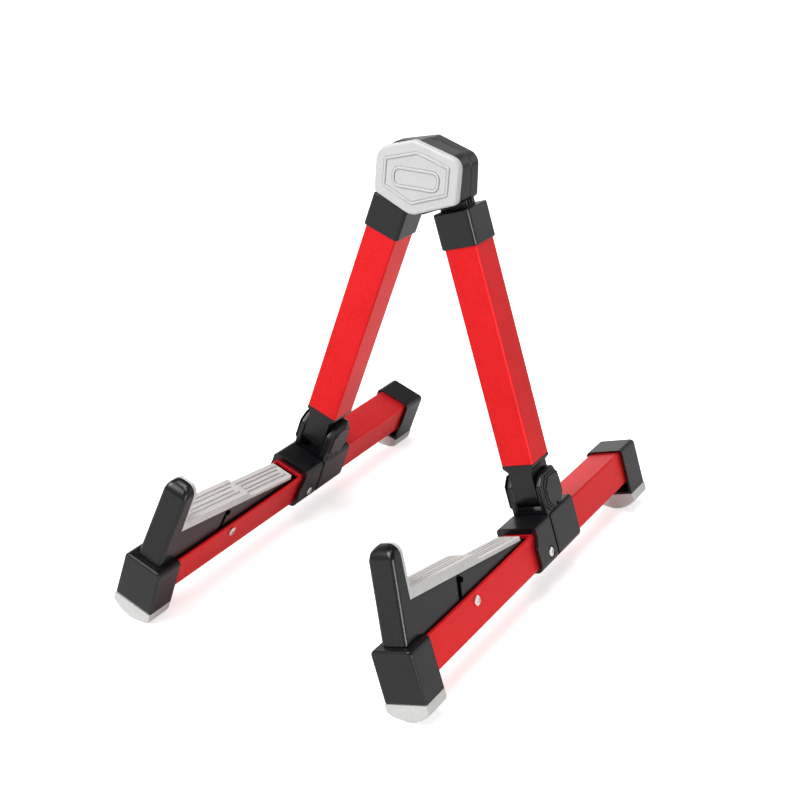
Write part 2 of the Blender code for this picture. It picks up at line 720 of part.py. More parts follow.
def hookSlot(kit, arm):
    """J-shaped slot that drops over the rest screw: an open stem and a hooked head."""
    stemFoot = (SLOT_MOUTH_V, ARM_UNDERSIDE - 1.5)
    head = (SLOT_HEAD_V, SLOT_HEAD_U)
    hook = (SLOT_HOOK_V, SLOT_HOOK_U)
    wide = ARM_WIDTH
    kit.cut(arm, prismMesh(arm.name + "_stem", strokeOutline([stemFoot, head], SLOT_WIDTH), "n", -wide, wide))
    kit.cut(arm, prismMesh(arm.name + "_head", circleOutline(*head, SLOT_WIDTH / 2.0 + 0.03, 16), "n", -wide, wide))
    kit.cut(arm, prismMesh(arm.name + "_hook", strokeOutline([head, hook], SLOT_WIDTH - 0.3), "n", -wide, wide))
    kit.cut(arm, prismMesh(arm.name + "_hook_end", circleOutline(*hook, SLOT_WIDTH / 2.0 - 0.1, 16), "n", -wide, wide))


def cradleArm(kit, name, material):
    half = ARM_WIDTH / 2.0
    mesh = prismMesh(name, armOutline(), "n", -half, half)
    weightEdges(mesh, isHornEdge)
    arm = kit.piece(name, mesh, material)
    bevel(arm, HORN_EDGE, 2, weighted=True)
    roundHornTop(kit, arm)
    hookSlot(kit, arm)
    eye = circleOutline(ARM_PIVOT_V, ARM_PIVOT_U, BARREL_RADIUS + PIN_CLEARANCE)
    kit.cut(arm, prismMesh(name + "_eye", eye, "n", -ARM_WIDTH, ARM_WIDTH))
    return arm


def padOutline():
    """Side view of the pad: strip up the horn, deep front block, chamfered step, thin rear section."""
    stepAlong = (PAD_STEP_V - CROTCH_V) / math.cos(RAMP_SLOPE)
    endAlong = (RAMP_END_V - CROTCH_V) / math.cos(RAMP_SLOPE)
    faceTop = HORN_TOP - 0.4
    lean = math.tan(HORN_FACE_LEAN)
    stripTopV = CROTCH_V + (faceTop - CROTCH_U) * lean
    strip = PAD_STRIP
    blockTop = rampPoint(strip + 1.0, PAD_FRONT_DEPTH)
    blockTop = (CROTCH_V + (blockTop[1] - CROTCH_U) * lean + strip, blockTop[1])
    g = SEAT_GAP
    return roundedOutline(
        [
            (*rampPoint(g, g), 0.0),
            (*rampPoint(endAlong, g), 0.0),
            (*rampPoint(endAlong, PAD_REAR_DEPTH), 1.0),
            (*rampPoint(stepAlong + PAD_STEP_RUN, PAD_REAR_DEPTH), 1.0),
            (*rampPoint(stepAlong, PAD_FRONT_DEPTH), 1.0),
            (*blockTop, 0.8),
            (stripTopV + strip, faceTop, 0.5),
            (stripTopV + g, faceTop, 0.0),
        ],
        3,
    )


def isPadEdge(a, b):
    sameSide = abs(a.x - b.x) < 0.01
    return sameSide and min(aboveRamp(a), aboveRamp(b)) > PAD_REAR_DEPTH - 0.8


def aboveRamp(point):
    c, s = math.cos(RAMP_SLOPE), math.sin(RAMP_SLOPE)
    return (point.y - CROTCH_V) * s + (point.z - CROTCH_U) * c


def cutGrooves(kit, pad, start, end, depth):
    """Nested U grooves, closed at the rear."""
    widest = max(GROOVE_OFFSETS)
    for offset in GROOVE_OFFSETS:
        rear = end - GROOVE_MARGIN - (widest - offset)
        outline = strokeOutline([(start, -offset), (rear, -offset), (rear, offset), (start, offset)], GROOVE_WIDTH)
        mesh = prismMesh(f"{pad.name}_groove", [(y, x) for x, y in outline], "u", -GROOVE_DEPTH, OVERCUT)
        helper = kit.cut(pad, mesh)
        place = rampPoint(0.0, depth)
        helper.location = (0.0, place[0] * MM, place[1] * MM)
        helper.rotation_euler = (-RAMP_SLOPE, 0.0, 0.0)


def cradlePad(kit, name, material):
    half = ARM_WIDTH / 2.0
    mesh = prismMesh(name, padOutline(), "n", -half, half)
    weightEdges(mesh, isPadEdge)
    pad = kit.piece(name, mesh, material)
    bevel(pad, PAD_EDGE, 1, weighted=True)
    roundHornTop(kit, pad)
    stepAlong = (PAD_STEP_V - CROTCH_V) / math.cos(RAMP_SLOPE)
    endAlong = (RAMP_END_V - CROTCH_V) / math.cos(RAMP_SLOPE)
    cutGrooves(kit, pad, PAD_STRIP + 4.0, stepAlong, PAD_FRONT_DEPTH)
    cutGrooves(kit, pad, stepAlong + PAD_STEP_RUN + 1.4, endAlong, PAD_REAR_DEPTH)
    return pad


# Leg and head


def legTube(kit, name, material):
    half = TUBE_SIDE / 2.0
    top = SOCKET_TOP - SOCKET_ROOF - SEAT_GAP
    outer = rectangleOutline(-half, half, -half, half, TUBE_CORNER)
    innerHalf = half - TUBE_WALL
    inner = rectangleOutline(-innerHalf, innerHalf, -innerHalf, innerHalf)
    tube = kit.piece(name, prismMesh(name, outer, "u", LEG_BOTTOM, top), material)
    kit.cut(tube, prismMesh(name + "_bore", inner, "u", LEG_BOTTOM - OVERCUT, top + OVERCUT))
    return tube


def socketMesh(name):
    half = SOCKET_WIDTH / 2.0
    outline = rectangleOutline(-half, half, -half, half, SOCKET_CORNER)
    return prismMesh(name, outline, "u", SOCKET_BOTTOM, SOCKET_TOP)


def leafTurn(helper, side):
    """Sets a head shape, drawn about the hinge axis, upright in a side's tilted frame."""
    helper.location = (-side * HINGE_OFFSET * MM, 0.0, HINGE_HEIGHT * MM)
    helper.rotation_euler = (0.0, side * SIDE_TILT, 0.0)


def leaf(kit, name, material, side, low, high, recessLow, recessHigh):
    """Hinge leaf: a leg socket, a neck and a hexagonal plate that stands upright."""
    piece = kit.piece(name, socketMesh(name), material)
    bevel(piece, 0.7, 2)
    neckInner = -SOCKET_WIDTH / 2.0 + 0.1
    span = sorted((side * neckInner, side * NECK_OUTER))
    neckReach = SOCKET_TOP - 0.4
    neck = rectangleOutline(*span, low, high)
    kit.join(piece, prismMesh(name + "_neck", neck, "u", neckReach, HINGE_HEIGHT - NECK_BELOW_HINGE))
    outline = hexOutline(HEX_HALF_WIDTH, HEX_TOP, HEX_BOTTOM, HEX_CORNERS)
    mesh = prismMesh(name + "_plate", outline, "v", low, high)
    weightEdges(mesh, lambda a, b: min(a.y, b.y) > REAR_LEAF_EDGE + PARTING_Y)
    plate = kit.join(piece, mesh)
    bevel(plate, REAR_LEAF_EDGE, 2, weighted=True)
    leafTurn(plate, side)
    hole = circleOutline(0.0, 0.0, HEAD_BOLT_RADIUS + PIN_CLEARANCE)
    leafTurn(kit.cut(piece, prismMesh(name + "_hole", hole, "v", low - OVERCUT, high + OVERCUT)), side)
    recess = circleOutline(0.0, 0.0, HEAD_RECESS_RADIUS, 32)
    leafTurn(kit.cut(piece, prismMesh(name + "_recess", recess, "v", recessLow, recessHigh)), side)
    cavity = TUBE_SIDE / 2.0 + SEAT_GAP
    pocket = rectangleOutline(-cavity, cavity, -cavity, cavity, TUBE_CORNER)
    kit.cut(piece, prismMesh(name + "_pocket", pocket, "u", SOCKET_BOTTOM - OVERCUT, SOCKET_TOP - SOCKET_ROOF))
    return piece


def frontLeaf(kit, name, material, side):
    rear = PARTING_Y - SEAT_GAP / 2.0
    front = PARTING_Y - FRONT_LEAF_DEPTH
    return leaf(kit, name, material, side, front, rear, front - OVERCUT, front + HEAD_RECESS_DEPTH)


def rearLeaf(kit, name, material, side):
    front = PARTING_Y + SEAT_GAP / 2.0
    rear = PARTING_Y + REAR_LEAF_DEPTH
    return leaf(kit, name, material, side, front, rear, rear - HEAD_RECESS_DEPTH, rear + OVERCUT)


def ringJoin(kit, target, outerOutline, innerOutline, low, high):
    """Adds a raised ring made as its own solid with its middle cut away."""
    ring = kit.tool(target.name + "_ring", prismMesh(target.name + "_ring", outerOutline, "v", low, high))
    ring.parent = target
    middle = kit.tool(target.name + "_ring_middle", prismMesh("ring_middle", innerOutline, "v", low - 1.0, high + 1.0))
    middle.parent = ring
    hollow = ring.modifiers.new("Middle", "BOOLEAN")
    hollow.operation = "DIFFERENCE"
    hollow.solver = "EXACT"
    hollow.object = middle
    union = target.modifiers.new("Raised ring", "BOOLEAN")
    union.operation = "UNION"
    union.solver = "EXACT"
    union.object = ring


def headCover(kit, name, material):
    """Grey cover with a raised hexagon and a plain raised frame, about the hinge axis."""
    rear = PARTING_Y - FRONT_LEAF_DEPTH - SEAT_GAP
    front = rear - HEAD_COVER_DEPTH
    outline = hexOutline(HEX_HALF_WIDTH, HEX_TOP, HEX_BOTTOM, HEX_CORNERS)
    mesh = prismMesh(name, outline, "v", front, rear)
    weightEdges(mesh, lambda a, b: max(a.y, b.y) < front + 0.01)
    cover = kit.piece(name, mesh, material)
    bevel(cover, HEAD_COVER_EDGE, 2, weighted=True)
    outer = hexOutline(RIM_HALF_WIDTH, RIM_TOP, RIM_BOTTOM, RIM_CORNERS)
    inner = hexOutline(RIM_HALF_WIDTH, RIM_TOP, RIM_BOTTOM, RIM_CORNERS, RIM_LINE)
    ringJoin(kit, cover, outer, inner, front - RIM_RAISE, front + 0.5)
    w, h = BADGE_WIDTH / 2.0, BADGE_HEIGHT / 2.0
    outer = rectangleOutline(-w, w, -h, h, BADGE_CORNER)
    w, h = w - RIM_LINE, h - RIM_LINE
    inner = rectangleOutline(-w, w, -h, h, BADGE_CORNER - RIM_LINE)
    ringJoin(kit, cover, outer, inner, front - RIM_RAISE, front + 0.5)
    return cover


def hingeBolt(kit, name, material):
    headSeat = PARTING_Y - FRONT_LEAF_DEPTH + HEAD_RECESS_DEPTH - SEAT_GAP
    headFront = headSeat - HEAD_BOLT_HEAD_HEIGHT
    end = PARTING_Y + REAR_LEAF_DEPTH - 0.6
    head = circleOutline(0.0, 0.0, HEAD_BOLT_HEAD_RADIUS, 6)
    bolt = kit.piece(name, prismMesh(name, head, "v", headFront, headSeat), material)
    bevel(bolt, 0.3, 1)
    kit.join(bolt, prismMesh(name + "_shank", circleOutline(0.0, 0.0, HEAD_BOLT_RADIUS), "v", headSeat - 1.0, end))
    return bolt


def annulus(kit, name, material, outer, radius, low, high):
    """Washer or nut: an outline with the bolt's hole through it."""
    piece = kit.piece(name, prismMesh(name, outer, "v", low, high), material)
    hole = circleOutline(0.0, 0.0, radius)
    kit.cut(piece, prismMesh(name + "_hole", hole, "v", low - OVERCUT, high + OVERCUT))
    return piece


def hingeHardware(kit, steel):
    bolt = hingeBolt(kit, "hinge_bolt", steel)
    seat = PARTING_Y + REAR_LEAF_DEPTH - HEAD_RECESS_DEPTH
    bore = HEAD_BOLT_RADIUS + PIN_CLEARANCE
    washerLow = seat + SEAT_GAP
    washerHigh = washerLow + WASHER_THICKNESS
    ring = circleOutline(0.0, 0.0, HEAD_RECESS_RADIUS - 0.4, 32)
    washer = annulus(kit, "hinge_washer", steel, ring, bore, washerLow, washerHigh)
    hexagon = circleOutline(0.0, 0.0, NUT_RADIUS, 6)
    nutLow = washerHigh + PIN_CLEARANCE
    nut = annulus(kit, "hinge_nut", steel, hexagon, bore, nutLow, PARTING_Y + REAR_LEAF_DEPTH - 1.2)
    return [bolt, washer, nut]


# Assembly


def pivotEmpty(kit, name, side, localNUV, parent=None):
    """Empty on a joint's axis, turned with its side of the stand."""
    n, v, u = localNUV
    tilt = -side * SIDE_TILT
    turn = Matrix.Rotation(tilt, 4, "Y")
    origin = Vector((side * SIDE_X, BAR_MIDDLE, SIDE_Z)) * MM
    place = origin + turn @ (Vector((side * n, v, u)) * MM)
    empty = bpy.data.objects.new(name, None)
    kit.parts.objects.link(empty)
    world = Matrix.Translation(place) @ turn
    empty.matrix_world = world
    if parent is not None:
        empty.parent = parent[0]
        empty.matrix_basis = parent[1].inverted() @ world
    return empty, world


def attach(pieces, empty, side, localNUV, offsetNUV=(0.0, 0.0, 0.0)):
    """Parents pieces drawn in the side's frame to an empty that stands elsewhere in it."""
    n, v, u = localNUV
    on, ov, ou = offsetNUV
    for piece in pieces:
        piece.parent = empty
        piece.location = Vector((side * (on - n), ov - v, ou - u)) * MM


def buildLeg(kit, side, word, pivot, place, black, red):
    tube = legTube(kit, f"{word}_leg_tube", red)
    plug = kneePlug(kit, f"{word}_knee_plug", black)
    attach([tube, plug], pivot, side, place)


def buildBase(kit, side, word, knee, place, materials):
    black, red, grey, steel = materials
    frontInner = -BAR_FRONT + FRONT_CAP_LENGTH
    rearInner = BAR_REAR - REAR_CAP_LENGTH
    pieces = [
        baseTube(kit, f"{word}_base_tube", red),
        endCap(kit, f"{word}_front_cap", black, -BAR_FRONT, frontInner),
        endCap(kit, f"{word}_rear_cap", black, BAR_REAR, rearInner),
        foot(kit, f"{word}_front_foot", grey, -BAR_FRONT, frontInner, side),
        foot(kit, f"{word}_rear_foot", grey, BAR_REAR, rearInner, side),
        flange(kit, f"{word}_collar_flange", black),
        kneeBracket(kit, f"{word}_knee_bracket", black),
        kneePin(kit, f"{word}_knee_pin", steel),
        kneeCover(kit, f"{word}_knee_cover_inner", black, -side),
        kneeCover(kit, f"{word}_knee_cover_outer", black, side),
    ]
    attach(pieces, knee, side, place)
    pivotSeat = COLLAR_WIDTH / 2.0 - RECESS_DEPTH + SEAT_GAP
    pivotScrew = throughScrew(kit, side, f"{word}_arm_pivot", steel, pivotSeat)
    attach(pivotScrew, knee, side, place, (0.0, ARM_PIVOT_V, ARM_PIVOT_U))
    restScrew = throughScrew(kit, side, f"{word}_arm_rest", steel, TUBE_SIDE / 2.0 + SEAT_GAP)
    attach(restScrew, knee, side, place, (0.0, REST_SCREW_V, REST_SCREW_U))


def buildSide(kit, side, word, materials, headEmpty):
    black, red, grey, _ = materials
    hinge = (-HINGE_OFFSET, 0.0, HINGE_HEIGHT)
    kneePlace = (0.0, 0.0, KNEE_HEIGHT)
    armPlace = (0.0, ARM_PIVOT_V, ARM_PIVOT_U)
    leg = pivotEmpty(kit, f"{word}_leg_pivot", side, hinge, headEmpty)
    buildLeg(kit, side, word, leg[0], hinge, black, red)
    knee = pivotEmpty(kit, f"{word}_knee_pivot", side, kneePlace, leg)
    buildBase(kit, side, word, knee[0], kneePlace, materials)
    arm = pivotEmpty(kit, f"{word}_arm_pivot_axis", side, armPlace, knee)
    pieces = [cradleArm(kit, f"{word}_cradle_arm", black), cradlePad(kit, f"{word}_cradle_pad", grey)]
    attach(pieces, arm[0], side, armPlace)
    make = rearLeaf if side > 0 else frontLeaf
    socket = make(kit, "rear_hinge_leaf" if side > 0 else "front_hinge_leaf", black, side)
    attach([socket], leg[0], side, hinge)


def finishShading(kit):
    for obj in list(kit.parts.objects) + list(kit.cutters.objects):
        if obj.type == "MESH":
            shadeByAngle(obj.data)


def main():
    clearScene()
    kit = Kit()
    black = makeMaterial("black_abs", (0.028, 0.029, 0.031), 0.42, 0.0)
    red = makeMaterial("red_anodised", (0.62, 0.018, 0.022), 0.34, 0.55)
    grey = makeMaterial("grey_silicone", (0.58, 0.585, 0.57), 0.62, 0.0)
    steel = makeMaterial("zinc_plated_steel", (0.72, 0.72, 0.74), 0.28, 1.0)
    materials = (black, red, grey, steel)
    head = bpy.data.objects.new("head_axis", None)
    kit.parts.objects.link(head)
    head.location = Vector((0.0, BAR_MIDDLE, HEAD_Z)) * MM
    headEmpty = (head, Matrix.Translation(Vector((0.0, BAR_MIDDLE, HEAD_Z)) * MM))
    for obj in [headCover(kit, "head_cover", grey)] + hingeHardware(kit, steel):
        obj.parent = head
    for side, word in ((-1.0, "left"), (1.0, "right")):
        buildSide(kit, side, word, materials, headEmpty)
    finishShading(kit)


main()
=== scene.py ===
import json
from math import acos, asin, atan2, cos, pi, radians, sin, tan

import bmesh
import bpy
from mathutils import Matrix, Vector


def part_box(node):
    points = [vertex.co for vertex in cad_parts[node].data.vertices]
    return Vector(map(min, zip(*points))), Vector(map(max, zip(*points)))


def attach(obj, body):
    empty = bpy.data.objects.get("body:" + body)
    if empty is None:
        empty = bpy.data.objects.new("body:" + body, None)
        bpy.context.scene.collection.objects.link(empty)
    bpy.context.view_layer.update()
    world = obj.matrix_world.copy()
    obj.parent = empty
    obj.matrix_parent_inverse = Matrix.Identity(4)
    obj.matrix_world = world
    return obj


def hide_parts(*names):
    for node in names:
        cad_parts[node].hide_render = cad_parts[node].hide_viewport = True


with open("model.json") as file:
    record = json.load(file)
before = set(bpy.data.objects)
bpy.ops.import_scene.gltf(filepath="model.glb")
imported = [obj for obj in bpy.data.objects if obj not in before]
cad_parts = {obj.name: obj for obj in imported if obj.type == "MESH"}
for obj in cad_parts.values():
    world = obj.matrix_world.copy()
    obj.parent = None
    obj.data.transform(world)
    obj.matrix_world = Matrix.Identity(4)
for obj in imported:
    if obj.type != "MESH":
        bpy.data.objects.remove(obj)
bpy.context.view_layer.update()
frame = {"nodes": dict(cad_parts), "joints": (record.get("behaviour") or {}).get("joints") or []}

print("stage: the frame is loaded")

# Sizes are millimetres in each side's own frame: n outward, v to the rear, u up the leaning side.
# Outlines are (n, v) for a solid drawn along u, (n, u) along v and (v, u) along n.

mm = 0.001
nodes = frame["nodes"]
joints = {joint["name"]: joint for joint in frame["joints"]}
gap = 0.2
overcut = 2.0
hair = 0.01
weld = 0.0001


class SideFrame:
    # One leaning side of the stand, placed from its knee joint and the underside of its bar.

    def __init__(self, word, sign):
        self.word = word
        knee = joints[f"{word}_knee"]
        self.outward = Vector(knee["axis"]).normalized() * sign
        self.up = self.outward.cross(Vector((0.0, 1.0, 0.0))) * sign
        kneePlace = Vector(knee["pos_m"])
        bar = nodes[f"{word}_base_tube"].data.vertices
        drop = min((vertex.co - kneePlace).dot(self.up) for vertex in bar)
        self.origin = kneePlace + self.up * drop
        turn = Matrix((self.outward, (0.0, 1.0, 0.0), self.up)).transposed().to_4x4()
        self.matrix = Matrix.Translation(self.origin) @ turn @ Matrix.Scale(mm, 4)
        self.inverse = self.matrix.inverted()

    def local(self, place):
        return self.inverse @ Vector(place)

    def box(self, part):
        points = [self.local(vertex.co) for vertex in nodes[f"{self.word}_{part}"].data.vertices]
        return [Vector([pick(point[i] for point in points) for i in range(3)]) for pick in (min, max)]


sides = [SideFrame("left", -1.0), SideFrame("right", 1.0)]
right = sides[1]
knee = right.local(joints["right_knee"]["pos_m"])
pivot = right.local(joints["right_arm_lift"]["pos_m"])
hingePlace = Vector(joints["head_hinge"]["pos_m"])
hinge = right.local(hingePlace)
kneePlace = (knee.y, knee.z)
pivotPlace = (pivot.y, pivot.z)
lean = asin(right.outward.z)
headMatrix = Matrix.Translation(hingePlace) @ Matrix.Scale(mm, 4)


# Outlines


def rounded(corners, steps=6):
    # Each corner is (x, y, radius); a radius of 0 keeps it sharp.
    points = []
    count = len(corners)
    for i, (x, y, radius) in enumerate(corners):
        here = Vector((x, y))
        if radius <= 0.0:
            points.append((x, y))
            continue
        before = (Vector(corners[i - 1][:2]) - here).normalized()
        after = (Vector(corners[(i + 1) % count][:2]) - here).normalized()
        half = before.angle(after) / 2.0
        centre = here + (before + after).normalized() * (radius / sin(half))
        start = here + before * (radius / tan(half)) - centre
        end = here + after * (radius / tan(half)) - centre
        turn = start.angle_signed(end)
        for step in range(steps + 1):
            spoke = start.copy()
            spoke.rotate(Matrix.Rotation(-turn * step / steps, 2))
            points.append(tuple(centre + spoke))
    return points


def rectangle(x0, x1, y0, y1, radius=0.0, steps=6):
    return rounded([(x0, y0, radius), (x1, y0, radius), (x1, y1, radius), (x0, y1, radius)], steps)


def square(half, radius, steps=6):
    return rectangle(-half, half, -half, half, radius, steps)


def panel(half, low, high, lowRadius, highRadius, steps=8):
    # A rectangle about n = 0 with its own rounding below and above.
    lower = [(-half, low, lowRadius), (half, low, lowRadius)]
    return rounded(lower + [(half, high, highRadius), (-half, high, highRadius)], steps)


def arc(x, y, radius, start, end, steps):
    angles = [start + (end - start) * i / steps for i in range(steps + 1)]
    return [(x + radius * cos(a), y + radius * sin(a)) for a in angles]


def circle(x, y, radius, segments=48):
    return arc(x, y, radius, 0.0, 2.0 * pi, segments)[:-1]


def stroke(start, end, width):
    # A straight slot between two places.
    start = Vector(start)
    end = Vector(end)
    along = (end - start).normalized()
    aside = Vector((-along.y, along.x)) * (width / 2.0)
    return [tuple(place) for place in (start - aside, end - aside, end + aside, start + aside)]


# Solids


def addObject(name, data):
    obj = bpy.data.objects.new(name, data)
    bpy.context.scene.collection.objects.link(obj)
    return obj


def prism(name, outline, axis, low, high):
    order = {"u": (0, 1, 2), "v": (0, 2, 1), "n": (2, 0, 1)}[axis]
    mesh = bpy.data.meshes.new(name)
    shape = bmesh.new()
    rings = []
    for level in sorted((low, high)):
        corners = [(x, y, level) for x, y in outline]
        rings.append([shape.verts.new([corner[k] for k in order]) for corner in corners])
    count = len(outline)
    for i in range(count):
        k = (i + 1) % count
        shape.faces.new((rings[0][i], rings[0][k], rings[1][k], rings[1][i]))
    shape.faces.new(rings[1])
    shape.faces.new(rings[0][::-1])
    bmesh.ops.remove_doubles(shape, verts=shape.verts, dist=weld)
    bmesh.ops.recalc_face_normals(shape, faces=shape.faces)
    shape.to_mesh(mesh)
    shape.free()
    return addObject(name, mesh)


def combine(target, helper, operation="DIFFERENCE"):
    modifier = target.modifiers.new(operation.title(), "BOOLEAN")
    modifier.operation = operation
    modifier.solver = "EXACT"
    modifier.object = helper


def cut(obj, outline, axis, low, high):
    combine(obj, prism(obj.name + " cutter", outline, axis, low, high))


def join(obj, outline, axis, low, high):
    combine(obj, prism(obj.name + " addition", outline, axis, low, high), "UNION")


def roundEdges(obj, width, segments=3, rule=None, limit=40.0):
    # A rule gives each edge, from its two ends, its share of the rounding.
    modifier = obj.modifiers.new("Edge rounding", "BEVEL")
    modifier.width = width
    modifier.segments = segments
    modifier.limit_method = "WEIGHT" if rule else "ANGLE"
    modifier.angle_limit = radians(limit)
    if rule:
        layer = obj.data.attributes.new("bevel_weight_edge", "FLOAT", "EDGE")
        for edge in obj.data.edges:
            ends = [obj.data.vertices[i].co for i in edge.vertices]
            layer.data[edge.index].value = float(rule(*ends))


def bake(obj, matrix):
    # Applies the modifiers, places the mesh in the stand and removes the helpers.
    helpers = [m.object for m in obj.modifiers if m.type == "BOOLEAN"]
    for helper in list(helpers):
        helpers += [m.object for m in helper.modifiers if m.type == "BOOLEAN"]
    graph = bpy.context.evaluated_depsgraph_get()
    mesh = bpy.data.meshes.new_from_object(obj.evaluated_get(graph), depsgraph=graph)
    obj.modifiers.clear()
    mesh.transform(matrix)
    if matrix.determinant() < 0.0:
        mesh.flip_normals()
    obj.data = mesh
    for helper in helpers:
        bpy.data.objects.remove(helper)


def shade(obj, limit=38.0, weight=60):
    mesh = obj.data
    mesh.polygons.foreach_set("use_smooth", [True] * len(mesh.polygons))
    mesh.set_sharp_from_angle(angle=radians(limit))
    weighted = obj.modifiers.new("Weighted normals", "WEIGHTED_NORMAL")
    weighted.keep_sharp = True
    weighted.weight = weight


def finishPiece(obj, matrix, body, node, slotName):
    bake(obj, matrix)
    obj.name = obj.name.replace(" ", "-")
    obj.data.materials.clear()
    obj.data.materials.append(materials[slotName])
    shade(obj)
    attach(obj, body)
    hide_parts(node)


# Node trees


class TreeBuilder:
    # Adds nodes to a tree. An input given as a socket is linked, and any other value is set.

    def __init__(self, tree):
        self.tree = tree

    @classmethod
    def group(cls, name, inputs, outputs):
        # Inputs and outputs are given by their names and kinds of socket.
        builder = cls(bpy.data.node_groups.new(name, cls.prefix + "Tree"))
        for way, sockets in (("INPUT", inputs), ("OUTPUT", outputs)):
            for label, socket in sockets.items():
                builder.tree.interface.new_socket(label, in_out=way, socket_type="NodeSocket" + socket)
        builder.given = builder.node("NodeGroupInput").outputs
        builder.results = builder.node("NodeGroupOutput").inputs
        return builder

    def feed(self, socket, value):
        if isinstance(value, bpy.types.NodeSocket):
            self.tree.links.new(value, socket)
        else:
            socket.default_value = value

    def fill(self, sockets, values):
        for label, value in values.items():
            self.feed(sockets[label.replace("_", " ")], value)

    def give(self, **results):
        self.fill(self.results, results)
        return self.tree

    def node(self, kind, settings=None, **inputs):
        # A kind that isn't given in full takes the prefix of the tree's own nodes.
        node = self.tree.nodes.new(kind if "Node" in kind else self.prefix + kind)
        for label, value in (settings or {}).items():
            setattr(node, label, value)
        self.fill(node.inputs, inputs)
        return node

    def first(self, kind, settings=None, **inputs):
        return self.node(kind, settings, **inputs).outputs[0]

    def times(self, value, factor):
        return self.maths("MULTIPLY", value, factor)

    def maths(self, operation, *values, clamp=False):
        node = self.node("ShaderNodeMath", {"operation": operation, "use_clamp": clamp})
        for socket, value in zip(node.inputs, values):
            self.feed(socket, value)
        return node.outputs[0]


class ShaderTree(TreeBuilder):
    prefix = "ShaderNode"

    def noise(self, vector, scale, detail=3.0, roughness=0.5):
        sizes = dict(Scale=scale, Detail=detail, Roughness=roughness)
        return self.first("TexNoise", Vector=vector, **sizes)

    def span(self, value, low, high, toLow=0.0, toHigh=1.0, **settings):
        ends = dict(From_Min=low, From_Max=high, To_Min=toLow, To_Max=toHigh)
        return self.first("MapRange", settings, Value=value, **ends)

    def mix(self, factor, plain, full):
        node = self.node("Mix", {"data_type": "RGBA"})
        for i, value in ((0, factor), (6, plain), (7, full)):
            self.feed(node.inputs[i], (*value, 1.0) if isinstance(value, tuple) else value)
        return node.outputs[2]

    def place(self, space="Object"):
        return self.node("TexCoord").outputs[space]

    def dress(self, looks):
        self.fill(self.tree.nodes["Principled BSDF"].inputs, looks)


class GeometryTree(TreeBuilder):
    prefix = "GeometryNode"

    @classmethod
    def sized(cls, name, sizes, **inputs):
        # A tree that takes some sizes and a material and gives a geometry.
        floats = dict.fromkeys(sizes, "Float")
        return cls.group(name, {**inputs, **floats, "Material": "Material"}, {"Geometry": "Geometry"})

    def vector(self, x=0.0, y=0.0, z=0.0):
        return self.first("ShaderNodeCombineXYZ", X=x, Y=y, Z=z)

    def move(self, geometry, **place):
        return self.first("Transform", Geometry=geometry, **place)

    def boolean(self, operation, first, second):
        node = self.node("MeshBoolean", {"operation": operation, "solver": "EXACT"})
        self.feed(node.inputs["Mesh 1" if operation == "DIFFERENCE" else "Mesh 2"], first)
        self.feed(node.inputs["Mesh 2"], second)
        return node.outputs["Mesh"]

    def finish(self, geometry):
        real = self.first("RealizeInstances", Geometry=geometry)
        done = self.first("SetMaterial", Geometry=real, Material=self.given["Material"])
        return self.give(Geometry=done)


def applyTree(obj, tree, values):
    modifier = obj.modifiers.new("Nodes", "NODES")
    modifier.node_group = tree
    for item in tree.interface.items_tree:
        if item.name in values:
            modifier[item.identifier] = values[item.name]
    obj.update_tag()


# Finishes

grainLook = dict(fine=2600.0, broad=700.0, depth=0.00004)
wearLook = dict(
    smudge=28.0, scratch=900.0, scratchEdges=(0.66, 0.72), stretch=(1.0, 0.35, 1.6),
    turn=(0.5, 0.3, 0.9), patch=45.0, patchEdges=(0.5, 0.7), dust=380.0, dustEdges=(0.5, 0.75),
    upward=(0.3, 1.0), dustColour=(0.62, 0.6, 0.57), scuffRoughness=0.15,
    speckleEdges=(0.7, 1.3), smudgeEdges=(0.25, 0.75),
)


def buildGrainGroup():
    # Fine surface grain: two noises summed, given as a height and as a bumped normal.
    amounts = {"Vector": "Vector", "Grain Size": "Float", "Grain Height": "Float"}
    group = ShaderTree.group("surface grain", amounts, {"Height": "Float", "Normal": "Vector"})
    size = group.given["Grain Size"]
    place = group.given["Vector"]
    scaled = group.first("VectorMath", {"operation": "SCALE"}, Vector=place, Scale=size)
    fine = group.noise(scaled, grainLook["fine"], detail=2.0)
    height = group.maths("ADD", fine, group.noise(scaled, grainLook["broad"]))
    strength = group.given["Grain Height"]
    bump = group.first("Bump", Distance=grainLook["depth"], Height=height, Strength=strength)
    return group.give(Height=height, Normal=bump)


def buildHandlingGroup():
    # Handling marks: broad smudges, small scuffs and dust that settles on faces turned up.
    amounts = {"Vector": "Vector", "Scuff Amount": "Float", "Dust Amount": "Float"}
    marks = dict.fromkeys(("Smudge", "Scuff", "Dust"), "Float")
    group = ShaderTree.group("handling marks", amounts, marks)
    place = group.given["Vector"]
    smudge = group.noise(place, wearLook["smudge"], detail=4.0, roughness=0.6)
    turned = dict(Scale=wearLook["stretch"], Rotation=wearLook["turn"])
    stretched = group.first("Mapping", Vector=place, **turned)
    scratch = group.noise(stretched, wearLook["scratch"], detail=2.0, roughness=0.7)
    scratch = group.span(scratch, *wearLook["scratchEdges"])
    patch = group.span(group.noise(place, wearLook["patch"], detail=2.0), *wearLook["patchEdges"])
    scuff = group.times(group.times(scratch, patch), group.given["Scuff Amount"])
    normal = group.node("NewGeometry").outputs["Normal"]
    upright = group.node("SeparateXYZ", Vector=normal).outputs["Z"]
    speck = group.noise(place, wearLook["dust"], detail=4.0, roughness=0.7)
    speck = group.span(speck, *wearLook["dustEdges"])
    settled = group.times(group.span(upright, *wearLook["upward"]), speck)
    dust = group.times(settled, group.given["Dust Amount"])
    return group.give(Smudge=smudge, Scuff=scuff, Dust=dust)


grainGroup = buildGrainGroup()
handlingGroup = buildHandlingGroup()


